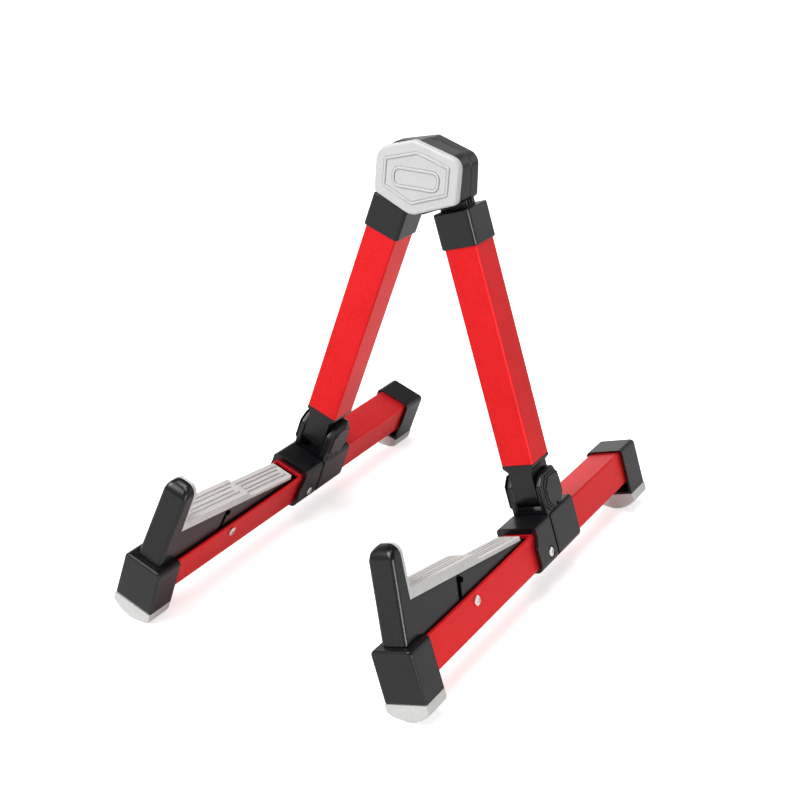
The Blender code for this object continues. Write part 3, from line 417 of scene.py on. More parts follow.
def newMaterial(name):
    material = bpy.data.materials.new(name)
    material.use_nodes = True
    return material, ShaderTree(material.node_tree)


def makeFinish(name, look):
    # A finish from its colours, roughness range, grain and wear.
    material, tree = newMaterial(name)
    place = tree.place()
    sizes = dict(Grain_Size=look["grainSize"], Grain_Height=look["grainHeight"])
    grain = tree.node("Group", {"node_tree": grainGroup}, Vector=place, **sizes).outputs
    sizes = dict(Scuff_Amount=look["scuff"], Dust_Amount=look["dust"])
    marks = tree.node("Group", {"node_tree": handlingGroup}, Vector=place, **sizes).outputs
    speckle = tree.span(grain["Height"], *wearLook["speckleEdges"], -look["speckle"], look["speckle"])
    base = tree.mix(tree.maths("ADD", marks["Smudge"], speckle, clamp=True), look["deep"], look["light"])
    scuffed = tree.mix(marks["Scuff"], base, look["worn"])
    smooth = tree.span(marks["Smudge"], *wearLook["smudgeEdges"], *look["roughness"])
    tree.dress({
        "Base Color": tree.mix(marks["Dust"], scuffed, wearLook["dustColour"]),
        "Roughness": tree.maths("MULTIPLY_ADD", marks["Scuff"], wearLook["scuffRoughness"], smooth),
        "Normal": grain["Normal"],
        "Metallic": look["metallic"],
        "Specular IOR Level": look["specular"],
    })
    return material


finishes = {
    "red_anodised": dict(
        deep=(0.7, 0.012, 0.014), light=(0.92, 0.021, 0.024), worn=(0.8, 0.2, 0.2), roughness=(0.32, 0.38),
        metallic=0.5, specular=0.14, grainSize=1.7, grainHeight=0.9, scuff=0.06, dust=0.03, speckle=0.45,
    ),
    "black_plastic": dict(
        deep=(0.002, 0.0023, 0.003), light=(0.0065, 0.007, 0.0085), worn=(0.03, 0.03, 0.03),
        roughness=(0.27, 0.31), metallic=0.0, specular=0.42, grainSize=0.8, grainHeight=0.6,
        scuff=0.06, dust=0.02, speckle=0.8,
    ),
    "grey_silicone": dict(
        deep=(0.59, 0.59, 0.575), light=(0.65, 0.65, 0.635), worn=(0.4, 0.4, 0.39), roughness=(0.52, 0.66),
        metallic=0.0, specular=0.35, grainSize=0.7, grainHeight=0.5, scuff=0.15, dust=0.06, speckle=0.5,
    ),
    "grey_plastic": dict(
        deep=(0.57, 0.58, 0.575), light=(0.62, 0.63, 0.625), worn=(0.45, 0.45, 0.44), roughness=(0.4, 0.46),
        metallic=0.0, specular=0.45, grainSize=0.8, grainHeight=0.8, scuff=0.1, dust=0.04, speckle=0.5,
    ),
    "zinc_steel": dict(
        deep=(0.78, 0.77, 0.73), light=(0.88, 0.87, 0.83), worn=(0.4, 0.38, 0.35), roughness=(0.2, 0.28),
        metallic=1.0, specular=0.5, grainSize=1.4, grainHeight=0.3, scuff=0.2, dust=0.03, speckle=0.3,
    ),
}
materials = {name: makeFinish(name, look) for name, look in finishes.items()}
print("stage: finishes are made")


# Screws: pan heads with a crossed recess on a shank, made by one node tree

screw = dict(
    barrel=1.5, thread=0.9, rise=1.3, slotReach=1.15,
    bore=0.98, noBore=0.05, boreMiddle=-0.62, dome=1.16, root=0.3, twist=0.5,
)
screwHead = {"Head Radius": 2.7, "Head Height": screw["rise"], "Slot Width": 0.75, "Slot Depth": 0.7}
restLow, restHigh = right.box("arm_rest_barrel")
restPlace = ((restLow.y + restHigh.y) / 2.0, (restLow.z + restHigh.z) / 2.0)


def buildScrewTree():
    # Drawn about z: the head stands on z = 0 and the shank goes down from it.
    sizes = [*screwHead, "Shank Radius", "Shank Length", "Bore Radius"]
    t = GeometryTree.sized("pan head screw", sizes)
    given = [t.given[label] for label in sizes]
    radius, height, slotWidth, slotDepth, shankRadius, length, boreRadius = given
    disc = t.first("MeshCylinder", Vertices=48, Radius=radius, Depth=height)
    disc = t.move(disc, Translation=t.vector(z=t.times(height, 0.5)))
    wide = t.times(radius, screw["dome"])
    ball = t.first("MeshUVSphere", Segments=64, Rings=48, Radius=1.0)
    dome = t.boolean("INTERSECT", disc, t.move(ball, Scale=t.vector(wide, wide, height)))
    reach = t.maths("ADD", length, screw["root"] * 2.0)
    shank = t.first("MeshCylinder", Vertices=40, Radius=shankRadius, Depth=reach)
    middle = t.maths("ADD", t.times(length, -0.5), screw["root"])
    body = t.boolean("UNION", dome, t.move(shank, Translation=t.vector(z=middle)))
    across = t.times(radius, screw["slotReach"])
    slots = []
    for x, y in ((across, slotWidth), (slotWidth, across)):
        bar = t.first("MeshCube", Size=t.vector(x, y, t.times(slotDepth, 2.0)))
        slots.append(t.move(bar, Translation=t.vector(z=height)))
    body = t.boolean("DIFFERENCE", body, t.boolean("UNION", *slots))
    bore = t.first("MeshCylinder", Vertices=40, Radius=boreRadius, Depth=length)
    bore = t.move(bore, Translation=t.vector(z=t.times(length, screw["boreMiddle"])))
    return t.finish(t.boolean("DIFFERENCE", body, bore))


screwTree = buildScrewTree()


def screwPiece(side, name, low, high):
    # The barrel enters from the outer side and is bored; the screw enters from the inner side.
    outer = name.endswith("barrel")
    sign, end, tip = (1.0, high.x, low.x) if outer else (-1.0, -low.x, -high.x)
    seat = end - screw["rise"]
    obj = prism(name, circle(0.0, 0.0, 1.0, segments=8), "u", 0.0, 1.0)
    values = {
        **screwHead,
        "Shank Radius": screw["barrel"] if outer else screw["thread"],
        "Shank Length": seat - tip,
        "Bore Radius": screw["bore"] if outer else screw["noBore"],
        "Material": materials["zinc_steel"],
    }
    applyTree(obj, screwTree, values)
    place = pivotPlace if "pivot" in name else restPlace
    turn = Matrix.Rotation(pi / 2.0 * sign, 4, "Y") @ Matrix.Rotation(screw["twist"], 4, "Z")
    bake(obj, Matrix.Translation((sign * seat, *place)) @ turn)
    return obj


# Tubes

tube = dict(wall=1.5, corner=1.2, boreCorner=0.4, channelRear=-29.6, channelCorner=0.8, edge=0.14)
tubeLow, tubeHigh = right.box("base_tube")
tubeHalf = (tubeHigh.x - tubeLow.x) / 2.0
tubeSide = tubeHalf * 2.0
boreHalf = tubeHalf - tube["wall"]
loose = tubeHalf + gap
barRoom = rectangle(-loose, loose, -gap, tubeSide + gap, tube["corner"])
frontCapHigh = right.box("front_cap")[1]


def legTube(side, name, low, high):
    obj = prism(name, square(tubeHalf, tube["corner"]), "u", low.z, high.z)
    cut(obj, square(boreHalf, tube["boreCorner"]), "u", low.z - overcut, high.z + overcut)
    roundEdges(obj, tube["edge"], 2)
    return obj


def barTube(side, name, low, high):
    outline = rectangle(-tubeHalf, tubeHalf, 0.0, tubeSide, tube["corner"])
    obj = prism(name, outline, "v", low.y, high.y)
    bore = rectangle(-boreHalf, boreHalf, tube["wall"], tubeSide - tube["wall"], tube["boreCorner"])
    cut(obj, bore, "v", low.y - overcut, high.y + overcut)
    front = frontCapHigh.y - overcut
    channel = rectangle(-boreHalf, boreHalf, front, tube["channelRear"], tube["channelCorner"])
    cut(obj, channel, "u", tubeHalf, tubeSide + overcut)
    for place in (restPlace, pivotPlace):
        cut(obj, circle(*place, screw["barrel"] + gap, segments=24), "n", -tubeSide, tubeSide)
    roundEdges(obj, tube["edge"], 2)
    return obj


# End caps and feet

cap = dict(
    corner=2.6, edge=1.4, endWall=3.0, wall=2.0, hollowTop=1.0, hollowCorner=0.8,
    rimDepth=3.0, rimWall=1.3, rimTop=0.8, rimCorner=1.2, rimEdge=0.25,
)
foot = dict(radius=19.0, facet=0.25, edge=1.5, sharpTop=0.5, steps=48)


def endCap(side, name, low, high):
    outer, inner = (low.y, high.y) if "front" in name else (high.y, low.y)
    inward = 1.0 if inner > outer else -1.0
    half = high.x
    obj = prism(name, panel(half, low.z, high.z, 0.0, cap["corner"]), "v", outer, inner)
    roundEdges(obj, cap["edge"], 4, lambda a, b: max(abs(a.y - outer), abs(b.y - outer)) < hair)
    pocketStart = outer + inward * cap["endWall"]
    mouth = inner + inward * overcut
    cut(obj, barRoom, "v", pocketStart, mouth)
    wide = half - cap["wall"]
    hollow = rectangle(-wide, wide, low.z + cap["wall"], cap["hollowTop"], cap["hollowCorner"])
    cut(obj, hollow, "v", pocketStart + inward * cap["wall"], mouth)
    wide = half - cap["rimWall"]
    rim = rectangle(-wide, wide, low.z + cap["rimWall"], high.z - cap["rimTop"], cap["rimCorner"])
    cut(obj, rim, "v", inner - inward * cap["rimDepth"], mouth)
    roundEdges(obj, cap["rimEdge"], 2)
    return obj


def footOutline(half, top, centre):
    # Straight sides and an arc below, flattened where it meets the floor.
    down = -pi / 2.0
    contact = down - lean
    flat = acos((foot["radius"] - foot["facet"]) / foot["radius"])
    edge = asin(half / foot["radius"])
    angles = [down - edge + 2.0 * edge * i / foot["steps"] for i in range(foot["steps"] + 1)]
    angles = [a for a in angles if abs(a - contact) > flat + hair]
    angles += [contact - flat, contact + flat]
    points = [(half, top), (-half, top)]
    for a in sorted(angles):
        points.append((foot["radius"] * cos(a), centre + foot["radius"] * sin(a)))
    return points


def footPiece(side, name, low, high):
    facetLevel = min(vertex.co.z for vertex in nodes[name.replace(" ", "_")].data.vertices) / mm
    centre = (facetLevel + foot["radius"] - foot["facet"] - side.origin.z / mm) / side.up.z
    obj = prism(name, footOutline(high.x, high.z, centre), "v", low.y, high.y)
    sharp = high.z - foot["sharpTop"]
    roundEdges(obj, foot["edge"], 5, lambda a, b: abs(a.y - b.y) < hair and max(a.z, b.z) < sharp)
    return obj


# Collar: the flange in front, the knee bracket behind it

kneeJoint = dict(tongueHalf=7.1, sideGap=0.3, pin=3.0, hole=3.08, pinEdge=0.3)
collar = dict(
    corner=2.6, lowerCorner=4.2, edge=0.8, lipFront=-28.0, stepTop=17.5, stepLow=12.0,
    stepCorner=2.6, seat=3.5, seatDepth=1.3, seam=2.0, seamDepth=1.8, core=3.0,
    lipRise=1.0, lipDepth=1.2, lipSide=0.5, root=2.0, meldEdge=0.12,
)
ear = dict(
    front=-9.6, rear=10.2, waist=4.5, waistCorner=2.0, rearCorner=3.2, slopeRun=5.0,
    slopeDrop=0.8, slopeFoot=5.0, slopeCorner=3.0, footFront=9.2, footRear=8.6,
    edge=0.9, sharpFoot=1.0,
)
flangeLow, flangeHigh = right.box("collar_flange")
coverLow, coverHigh = right.box("knee_cover_outer")
collarTop = flangeHigh.z
collarHalf = flangeHigh.x
across = collarHalf * 2.0
earTop = right.box("knee_bracket")[1].z
earInner = kneeJoint["tongueHalf"] + kneeJoint["sideGap"]
earOuter = coverLow.x - gap


def collarOutline(inset=0.0):
    corners = (collar["lowerCorner"] - inset, collar["corner"] - inset)
    return panel(collarHalf - inset, flangeLow.z + inset, collarTop - inset, *corners)


def flangePiece(side, name, low, high):
    obj = prism(name, collarOutline(), "v", low.y, high.y)
    front = low.y - overcut
    top = collarTop + overcut
    corners = [
        (front, collar["stepLow"], 0.0),
        (low.y, collar["stepLow"], collar["stepCorner"]),
        (collar["lipFront"], collar["stepTop"], collar["stepCorner"]),
        (collar["lipFront"], top, 0.0),
        (front, top, 0.0),
    ]
    cut(obj, rounded(corners, steps=8), "n", -across, across)
    roundEdges(obj, collar["edge"], 4, limit=35.0)
    cut(obj, barRoom, "v", low.y - overcut, high.y + overcut)
    floor = collarHalf - collar["seatDepth"]
    for sign in (-1.0, 1.0):
        cut(obj, circle(*pivotPlace, collar["seat"]), "n", sign * floor, sign * across)
    cut(obj, circle(*pivotPlace, screw["barrel"] + gap), "n", -across, across)
    return obj


def earOutline():
    waist = knee.z - ear["waist"]
    root = tubeSide + collar["root"]
    corners = [
        (-ear["footFront"], root, 0.0),
        (ear["footRear"], root, 0.0),
        (ear["rear"], waist, ear["waistCorner"]),
        (ear["rear"], earTop, ear["rearCorner"]),
        (ear["front"] + ear["slopeRun"], earTop - ear["slopeDrop"], ear["slopeCorner"]),
        (ear["front"], knee.z + ear["slopeFoot"], ear["slopeCorner"]),
        (ear["front"], waist, ear["waistCorner"]),
    ]
    return rounded(corners, steps=8)


def bracketPiece(side, name, low, high):
    front = low.y + collar["seam"]
    obj = prism(name, collarOutline(), "v", front, high.y)
    roundEdges(obj, collar["edge"], 4)
    join(obj, collarOutline(collar["seamDepth"]), "v", low.y, low.y + collar["core"])
    free = collarTop + ear["sharpFoot"]
    for sign in (-1.0, 1.0):
        plate = prism(name + " ear", earOutline(), "n", sign * earInner, sign * earOuter)
        roundEdges(plate, ear["edge"], 3, lambda a, b: abs(a.x - b.x) < hair and max(a.z, b.z) > free)
        combine(obj, plate, "UNION")
    wide = earInner + collar["lipSide"]
    lip = rectangle(-wide, wide, front, front + collar["lipDepth"])
    join(obj, lip, "u", tubeSide + collar["root"], collarTop + collar["lipRise"])
    cut(obj, barRoom, "v", low.y - overcut, high.y + overcut)
    cut(obj, circle(*kneePlace, kneeJoint["hole"]), "n", -across, across)
    roundEdges(obj, collar["meldEdge"], 2)
    return obj


# A step of a knee cover is its share of the thickness and how far its front, rear, bottom and top draw in.
kneeCover = dict(
    corner=4.6, edge=0.25, shift=0.6, trench=0.55, trenchDepth=0.3, leastInset=0.25, sink=0.05,
    notch=1.5, notchPlace=0.8, notchCorner=0.6, notchFloor=0.5,
    steps=((0.4, 0.0, 0.0, 0.0, 0.0), (0.7, 1.5, 0.5, 0.8, 1.5), (1.0, 3.0, 0.9, 1.5, 3.0)),
)


def coverOutline(front, rear, bottom, top):
    # Eight sides about the knee.
    width = coverHigh.y - coverLow.y
    height = coverHigh.z - coverLow.z
    v0 = knee.y - width / 2.0 + front + kneeCover["shift"]
    v1 = knee.y + width / 2.0 - rear + kneeCover["shift"]
    u0 = knee.z - height / 2.0 + bottom
    u1 = knee.z + height / 2.0 - top
    c = kneeCover["corner"]
    lower = [(v0 + c, u0), (v1 - c, u0), (v1, u0 + c)]
    return lower + [(v1, u1 - c), (v1 - c, u1), (v0 + c, u1), (v0, u1 - c), (v0, u0 + c)]


def kneeCoverPiece(side, name, low, high):
    sign = 1.0 if high.x > 0.0 else -1.0
    near, far = sorted((abs(low.x), abs(high.x)))
    share, *insets = kneeCover["steps"][0]
    level = near + (far - near) * share
    obj = prism(name, coverOutline(*insets), "n", sign * near, sign * level)
    roundEdges(obj, kneeCover["edge"], 3)
    for share, *insets in kneeCover["steps"][1:]:
        wider = [max(inset - kneeCover["trench"], kneeCover["leastInset"]) for inset in insets]
        cut(obj, coverOutline(*wider), "n", sign * (level - kneeCover["trenchDepth"]), sign * far * 2.0)
        level = near + (far - near) * share
        start = near + kneeCover["sink"]
        layer = prism(name + " layer", coverOutline(*insets), "n", sign * start, sign * level)
        roundEdges(layer, kneeCover["edge"], 3)
        combine(obj, layer, "UNION")
    size = kneeCover["notch"]
    middle = knee.y + kneeCover["notchPlace"]
    top = low.z + size * 2.0
    notch = rectangle(middle - size, middle + size, low.z - overcut, top, kneeCover["notchCorner"])
    cut(obj, notch, "n", sign * (near + kneeCover["notchFloor"]), sign * across)
    return obj


plug = dict(lip=1.6, shoulder=14.5, edge=0.35, radius=9.6, steps=32, insertCorner=0.4, root=1.0)


def plugPiece(side, name, low, high):
    lipTop = side.box("leg_tube")[0].z - gap
    lipBottom = lipTop - plug["lip"]
    lipHalf = tubeHalf - gap
    tongueHalf = kneeJoint["tongueHalf"]
    tongue = arc(0.0, knee.z, plug["radius"], pi, 2.0 * pi, plug["steps"])
    tongue += [(plug["radius"], lipTop), (-plug["radius"], lipTop)]
    obj = prism(name, tongue, "n", -tongueHalf, tongueHalf)
    shoulderLevel = knee.z + plug["shoulder"]
    half = [(tongueHalf, shoulderLevel), (lipHalf, lipBottom), (lipHalf, lipTop)]
    shoulder = half + [(-x, y) for x, y in half[::-1]]
    join(obj, shoulder, "v", -lipHalf, lipHalf)
    join(obj, square(boreHalf - gap, plug["insertCorner"]), "u", lipTop - plug["root"], high.z)
    cut(obj, circle(*kneePlace, kneeJoint["hole"]), "n", -tubeSide, tubeSide)
    roundEdges(obj, plug["edge"], 3)
    return obj


def kneePinPiece(side, name, low, high):
    obj = prism(name, circle(*kneePlace, kneeJoint["pin"]), "n", low.x, high.x)
    roundEdges(obj, kneeJoint["pinEdge"], 2)
    return obj


# Cradle arm and its pad

arm = dict(
    foot=-158.2, footGap=0.3, lean=11.0, faceLean=6.5, shoulder=6.0, edge=2.2, skin=0.02,
    crotch=(-145.6, 39.9), rampEnd=(-36.0, 20.6), capGap=0.5, restGap=0.3, slopeFront=26.0,
    slopeRear=8.0, tongueBottom=2.2, tongueTop=15.6, tongueRun=2.6, tongueCorner=2.0,
    eye=3.0, eyeSteps=12, eyeBack=2.0, eyeRise=0.6, eyeGap=0.08, stepRun=1.2, stepRise=2.0,
    sideEdge=0.35, padRear=5.0, pick=1.0, blockRear=40.0, blockLow=-5.0,
)
hook = dict(
    width=3.4, tipWidth=3.1, headRadius=1.73, tipRadius=1.6, mouth=-106.8, open=1.5,
    head=(-103.0, 30.4), tip=(-100.4, 28.6),
)
pad = dict(
    strip=2.1, frontDepth=5.8, rearDepth=2.3, step=-86.0, stepRun=5.0, topDrop=0.4,
    blockLean=1.0, endCorner=1.0, stepFoot=1.4, stepTop=1.2, edge=0.7, rearCorner=2.6,
    inner=1.6, outer=4.2, groove=0.68, sink=0.3, margin=2.2, corner=0.8, frontStart=4.0,
    rearStart=2.4, overrun=6.0,
)
armLow, armHigh = right.box("cradle_arm")
armHalf = armHigh.x
hornTop = armHigh.z
crotch = Vector(arm["crotch"])
rampEnd = Vector(arm["rampEnd"])
rampSlope = atan2(crotch.y - rampEnd.y, rampEnd.x - crotch.x)
rampCos = cos(rampSlope)
rampSin = sin(rampSlope)
rampLength = (rampEnd.x - crotch.x) / rampCos
padStep = (pad["step"] - crotch.x) / rampCos
armUnderside = restPlace[1] + screw["barrel"] + arm["restGap"]


def rampPoint(along, above):
    return (crotch.x + along * rampCos + above * rampSin, crotch.y - along * rampSin + above * rampCos)


def faceLine(level):
    # The horn's rear face at a height.
    return crotch.x + (level - crotch.y) * tan(radians(arm["faceLean"]))


def armOutline():
    footLevel = frontCapHigh.z + arm["footGap"]
    hornFront = arm["foot"] + (hornTop - footLevel) * tan(radians(arm["lean"]))
    capRear = frontCapHigh.y + arm["capGap"]
    outline = [
        (arm["foot"], footLevel),
        (capRear, footLevel),
        (capRear, armUnderside),
        (rampEnd.x - arm["slopeFront"], armUnderside),
        (rampEnd.x - arm["slopeRear"], arm["tongueBottom"]),
    ]
    outline += arc(*pivotPlace, arm["eye"], -pi / 2.0, pi / 2.0, arm["eyeSteps"])
    corners = [
        (pivot.y - arm["eyeBack"], pivot.z + arm["eye"] + arm["eyeRise"], 0.0),
        (rampEnd.x + arm["tongueRun"], arm["tongueTop"], arm["tongueCorner"]),
        (rampEnd.x + arm["stepRun"], arm["tongueTop"] + arm["stepRise"], 0.0),
        (*rampEnd, 0.0),
        (*crotch, 0.0),
        (faceLine(hornTop), hornTop, 0.0),
        (hornFront - overcut, hornTop, 0.0),
    ]
    return outline + rounded(corners, steps=10)


def hornBlock(name):
    # Rounds the horn's front and top edges; the block leans back with the horn.
    half = armHalf + arm["skin"]
    front = arm["foot"] - arm["skin"]
    plan = rectangle(-half, half, front, arm["blockRear"])
    block = prism(name, plan, "u", arm["blockLow"], hornTop + arm["skin"])

    def share(a, b):
        if min(a.z, b.z) > hornTop - arm["pick"] and min(a.y, b.y) < front + arm["pick"]:
            return 1.0
        upright = max(a.y, b.y) < front + arm["pick"] and abs(a.x - b.x) < hair
        return arm["edge"] / arm["shoulder"] if upright else 0.0

    roundEdges(block, arm["shoulder"], 10, share)
    bake(block, Matrix.Identity(4))
    slant = tan(radians(arm["lean"]))
    for vertex in block.data.vertices:
        vertex.co.y += (vertex.co.z - frontCapHigh.z) * slant
    return block


def armPiece(side, name, low, high):
    obj = prism(name, armOutline(), "n", -armHalf, armHalf)
    combine(obj, hornBlock(name + " block"), "INTERSECT")
    slot = [
        stroke((hook["mouth"], armUnderside - hook["open"]), hook["head"], hook["width"]),
        circle(*hook["head"], hook["headRadius"], segments=32),
        stroke(hook["head"], hook["tip"], hook["tipWidth"]),
        circle(*hook["tip"], hook["tipRadius"], segments=32),
    ]
    for outline in slot:
        cut(obj, outline, "n", -tubeSide, tubeSide)
    cut(obj, circle(*pivotPlace, screw["barrel"] + arm["eyeGap"]), "n", -tubeSide, tubeSide)
    roundEdges(obj, arm["sideEdge"], 2, limit=50.0)
    return obj


def padOutline():
    faceTop = hornTop - pad["topDrop"]
    blockLevel = rampPoint(pad["strip"] + pad["blockLean"], pad["frontDepth"])[1]
    corners = [
        (*rampPoint(gap, gap), 0.0),
        (*rampPoint(rampLength, gap), 0.0),
        (*rampPoint(rampLength, pad["rearDepth"]), pad["endCorner"]),
        (*rampPoint(padStep + pad["stepRun"], pad["rearDepth"]), pad["stepFoot"]),
        (*rampPoint(padStep, pad["frontDepth"]), pad["stepTop"]),
        (faceLine(blockLevel) + pad["strip"], blockLevel, pad["endCorner"]),
        (faceLine(faceTop) + pad["strip"], faceTop, 0.0),
        (faceLine(faceTop) + gap, faceTop, 0.0),
    ]
    return rounded(corners)


def buildLoopTree():
    # One groove cutter: a bead swept round a rounded rectangle that lies on z = Height.
    sizes = ["Offset", "Start", "End", "Height", "Corner", "Bead"]
    t = GeometryTree.sized("groove loop", sizes)
    offset, start, end, level, corner, radius = (t.given[label] for label in sizes)
    length = t.maths("SUBTRACT", end, start)
    centre = t.times(t.maths("ADD", end, start), 0.5)
    width = t.times(offset, 2.0)
    loop = t.first("CurvePrimitiveQuadrilateral", Width=width, Height=length)
    loop = t.first("FilletCurve", {"mode": "POLY"}, Curve=loop, Radius=corner, Count=6)
    loop = t.move(loop, Translation=t.vector(y=centre, z=level))
    bead = t.first("CurvePrimitiveCircle", Resolution=12, Radius=radius)
    return t.finish(t.first("CurveToMesh", Curve=loop, Profile_Curve=bead))


def buildPadTree():
    # Cuts two nested grooves in each section of the pad.
    sizes = ["Front Start", "Front End", "Rear Start", "Rear End", "Front Depth", "Rear Depth"]
    sizes += ["inner", "outer", "corner", "groove", "Slope", "Ramp V", "Ramp U"]
    t = GeometryTree.sized("grooved pad", sizes, Geometry="Geometry")
    cutters = t.node("JoinGeometry")
    reach = t.maths("SUBTRACT", t.given["outer"], t.given["inner"])
    for section in ("Front", "Rear"):
        for which in ("inner", "outer"):
            ends = {"Start": t.given[f"{section} Start"], "End": t.given[f"{section} End"]}
            if which == "inner":
                ends["End"] = t.maths("SUBTRACT", ends["End"], reach)
            else:
                ends["Start"] = t.maths("SUBTRACT", ends["Start"], pad["overrun"])
            same = dict(Corner=t.given["corner"], Bead=t.given["groove"], Material=t.given["Material"])
            places = {"Offset": t.given[which], "Height": t.given[f"{section} Depth"]}
            groove = t.first("Group", {"node_tree": loopTree}, **ends, **same, **places)
            t.feed(cutters.inputs["Geometry"], groove)
    turn = t.vector(x=t.times(t.given["Slope"], -1.0))
    place = t.vector(y=t.given["Ramp V"], z=t.given["Ramp U"])
    placed = t.move(cutters.outputs["Geometry"], Translation=place, Rotation=turn)
    return t.finish(t.boolean("DIFFERENCE", t.given["Geometry"], placed))


loopTree = buildLoopTree()
padTree = buildPadTree()


def padPiece(side, name, low, high):
    obj = prism(name, padOutline(), "n", -armHalf, armHalf)
    arch = panel(armHalf + arm["skin"], -collarTop, hornTop, 0.0, arm["shoulder"], steps=12)
    arch = prism(name + " arch", arch, "v", armLow.y - overcut, arm["padRear"])
    combine(obj, arch, "INTERSECT")
    plan = rectangle(-armHalf, armHalf, armLow.y, rampEnd.x, pad["rearCorner"])
    combine(obj, prism(name + " plan", plan, "u", 0.0, hornTop + overcut), "INTERSECT")
    roundEdges(obj, pad["edge"], 4, limit=50.0)
    values = {
        **pad,
        "Front Start": pad["strip"] + pad["frontStart"],
        "Front End": padStep - pad["margin"],
        "Rear Start": padStep + pad["stepRun"] + pad["rearStart"],
        "Rear End": rampLength - pad["margin"],
        "Front Depth": pad["frontDepth"] - pad["sink"],
        "Rear Depth": pad["rearDepth"] - pad["sink"],
        "Slope": rampSlope,
        "Ramp V": crotch.x,
        "Ramp U": crotch.y,
        "Material": materials["grey_silicone"],
    }
    applyTree(obj, padTree, values)
    return obj


# Head: two leaves with sockets, the cover, and the hinge hardware

head = dict(
    half=25.3, top=21.4, bottom=21.2, corners=(10.0, 3.0, 7.0, 4.0), leastCorner=0.4,
    topSlope=16.5, bottomSlope=23.5,
)
leaf = dict(
    frontHigh=-1.9, rearLow=-1.7, rearHigh=7.5, topDrop=2.2, apex=1.2, lift=1.7,
    partingEdge=0.8, rearEdge=1.4, recess=6.4, recessDepth=4.6, hole=3.08, meldEdge=0.25,
    neckSide=0.1, neckOuter=5.6, neckRoot=0.4, neckBelow=13.0, cells=(2.4, 5.2),
    cellHalf=0.9, cellDepth=0.9, cellFoot=0.5, cellTop=1.0, cellReach=1.0,
)
socket = dict(width=22.6, corner=2.2, edge=0.9, roof=2.6)
cover = dict(
    edge=1.4, proud=0.6, root=0.8, slant=0.06, shift=0.4, apex=-3.0, point=-1.6,
    soften=2.6, rim=dict(half=19.6, top=15.0, bottom=14.8, corners=(3.0, 1.4, 1.2, 1.2)),
    rimEdge=0.35, line=1.3, badgeHalf=14.2, badgeRise=5.6, badgeCorner=4.4,
    furrow=0.4, furrowDepth=0.35, through=1.0,
)
hardware = dict(hex=5.6, headHeight=3.4, shank=3.0, washer=6.0, hole=3.08, edge=0.25, root=1.0)


def hingeSpan(part):
    # Front and rear of a head piece, from the middle of the hinge.
    low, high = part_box(part)
    return (low.y - hingePlace.y) / mm, (high.y - hingePlace.y) / mm


def hexOutline(shape, inset=0.0, drop=0.0, apex=0.0, point=0.0, lift=0.0, soften=0.0):
    # The top and bottom corners stand apex and point off the middle. The left shoulder may be lifted.
    low, lower, upper, high = (max(radius - inset, head["leastCorner"]) for radius in shape["corners"])
    half = shape["half"] - inset
    topSlope = radians(head["topSlope"])
    bottomSlope = radians(head["bottomSlope"])
    top = shape["top"] - drop - inset / cos(topSlope)
    bottom = shape["bottom"] - inset / cos(bottomSlope)
    shoulder = top - half * tan(topSlope)
    hip = half * tan(bottomSlope) - bottom
    corners = [
        (point, -bottom - point * tan(bottomSlope), low),
        (half, hip, lower),
        (half, shoulder + apex * tan(topSlope), upper),
        (apex, top + apex * tan(topSlope), high),
        (-half, shoulder + lift, upper + soften),
        (-half, hip, lower),
    ]
    return rounded(corners, steps=12)


def inSide(points):
    # Turns an outline drawn upright about the hinge into a side's leaning frame.
    c = cos(lean)
    s = sin(lean)
    return [(hinge.x + a * c + b * s, hinge.z - a * s + b * c) for a, b in points]


def leafPiece(side, part, low, high, recessLow, recessHigh):
    legTop = side.box("leg_tube")[1].z
    socketTop = legTop + gap + socket["roof"]
    neckTop = hinge.z - leaf["neckBelow"]
    boxLow = min(side.local(vertex.co).z for vertex in nodes[part].data.vertices)
    half = socket["width"] / 2.0
    obj = prism(part.replace("_", " "), square(half, socket["corner"], steps=8), "u", boxLow, socketTop)
    roundEdges(obj, socket["edge"], 4)
    neck = rectangle(leaf["neckSide"] - half, leaf["neckOuter"], low, high)
    join(obj, neck, "u", socketTop - leaf["neckRoot"], neckTop)
    outline = inSide(hexOutline(head, drop=leaf["topDrop"], apex=leaf["apex"], lift=leaf["lift"]))
    plate = prism(obj.name + " plate", outline, "v", low, high)
    rear = part.startswith("rear")

    def share(a, b):
        if abs(a.y - b.y) > hair:
            return 0.0
        return 1.0 if rear and a.y > high - hair else leaf["partingEdge"] / leaf["rearEdge"]

    roundEdges(plate, leaf["rearEdge"], 5, share)
    combine(obj, plate, "UNION")
    if rear:
        inner = leaf["neckOuter"] - leaf["cellDepth"]
        for place in leaf["cells"]:
            middle = low + place
            ends = (middle - leaf["cellHalf"], middle + leaf["cellHalf"])
            cell = rectangle(inner, leaf["neckOuter"] + leaf["cellReach"], *ends)
            cut(obj, cell, "u", socketTop + leaf["cellFoot"], neckTop - leaf["cellTop"])
    centre = inSide([(0.0, 0.0)])[0]
    cut(obj, circle(*centre, leaf["hole"]), "v", low - overcut, high + overcut)
    cut(obj, circle(*centre, leaf["recess"]), "v", recessLow, recessHigh)
    cut(obj, square(loose, tube["corner"]), "u", boxLow - overcut, legTop + gap)
    roundEdges(obj, leaf["meldEdge"], 2, limit=50.0)
    finishPiece(obj, side.matrix, f"{side.word}_leg", part, "black_plastic")


def slanted(points):
    return [(x + y * cover["slant"] + cover["shift"], y) for x, y in points]


def ring(name, outer, inner, low, high):
    band = prism(name, slanted(outer), "v", low, high)
    cut(band, slanted(inner), "v", low - cover["through"], high + cover["through"])
    return band


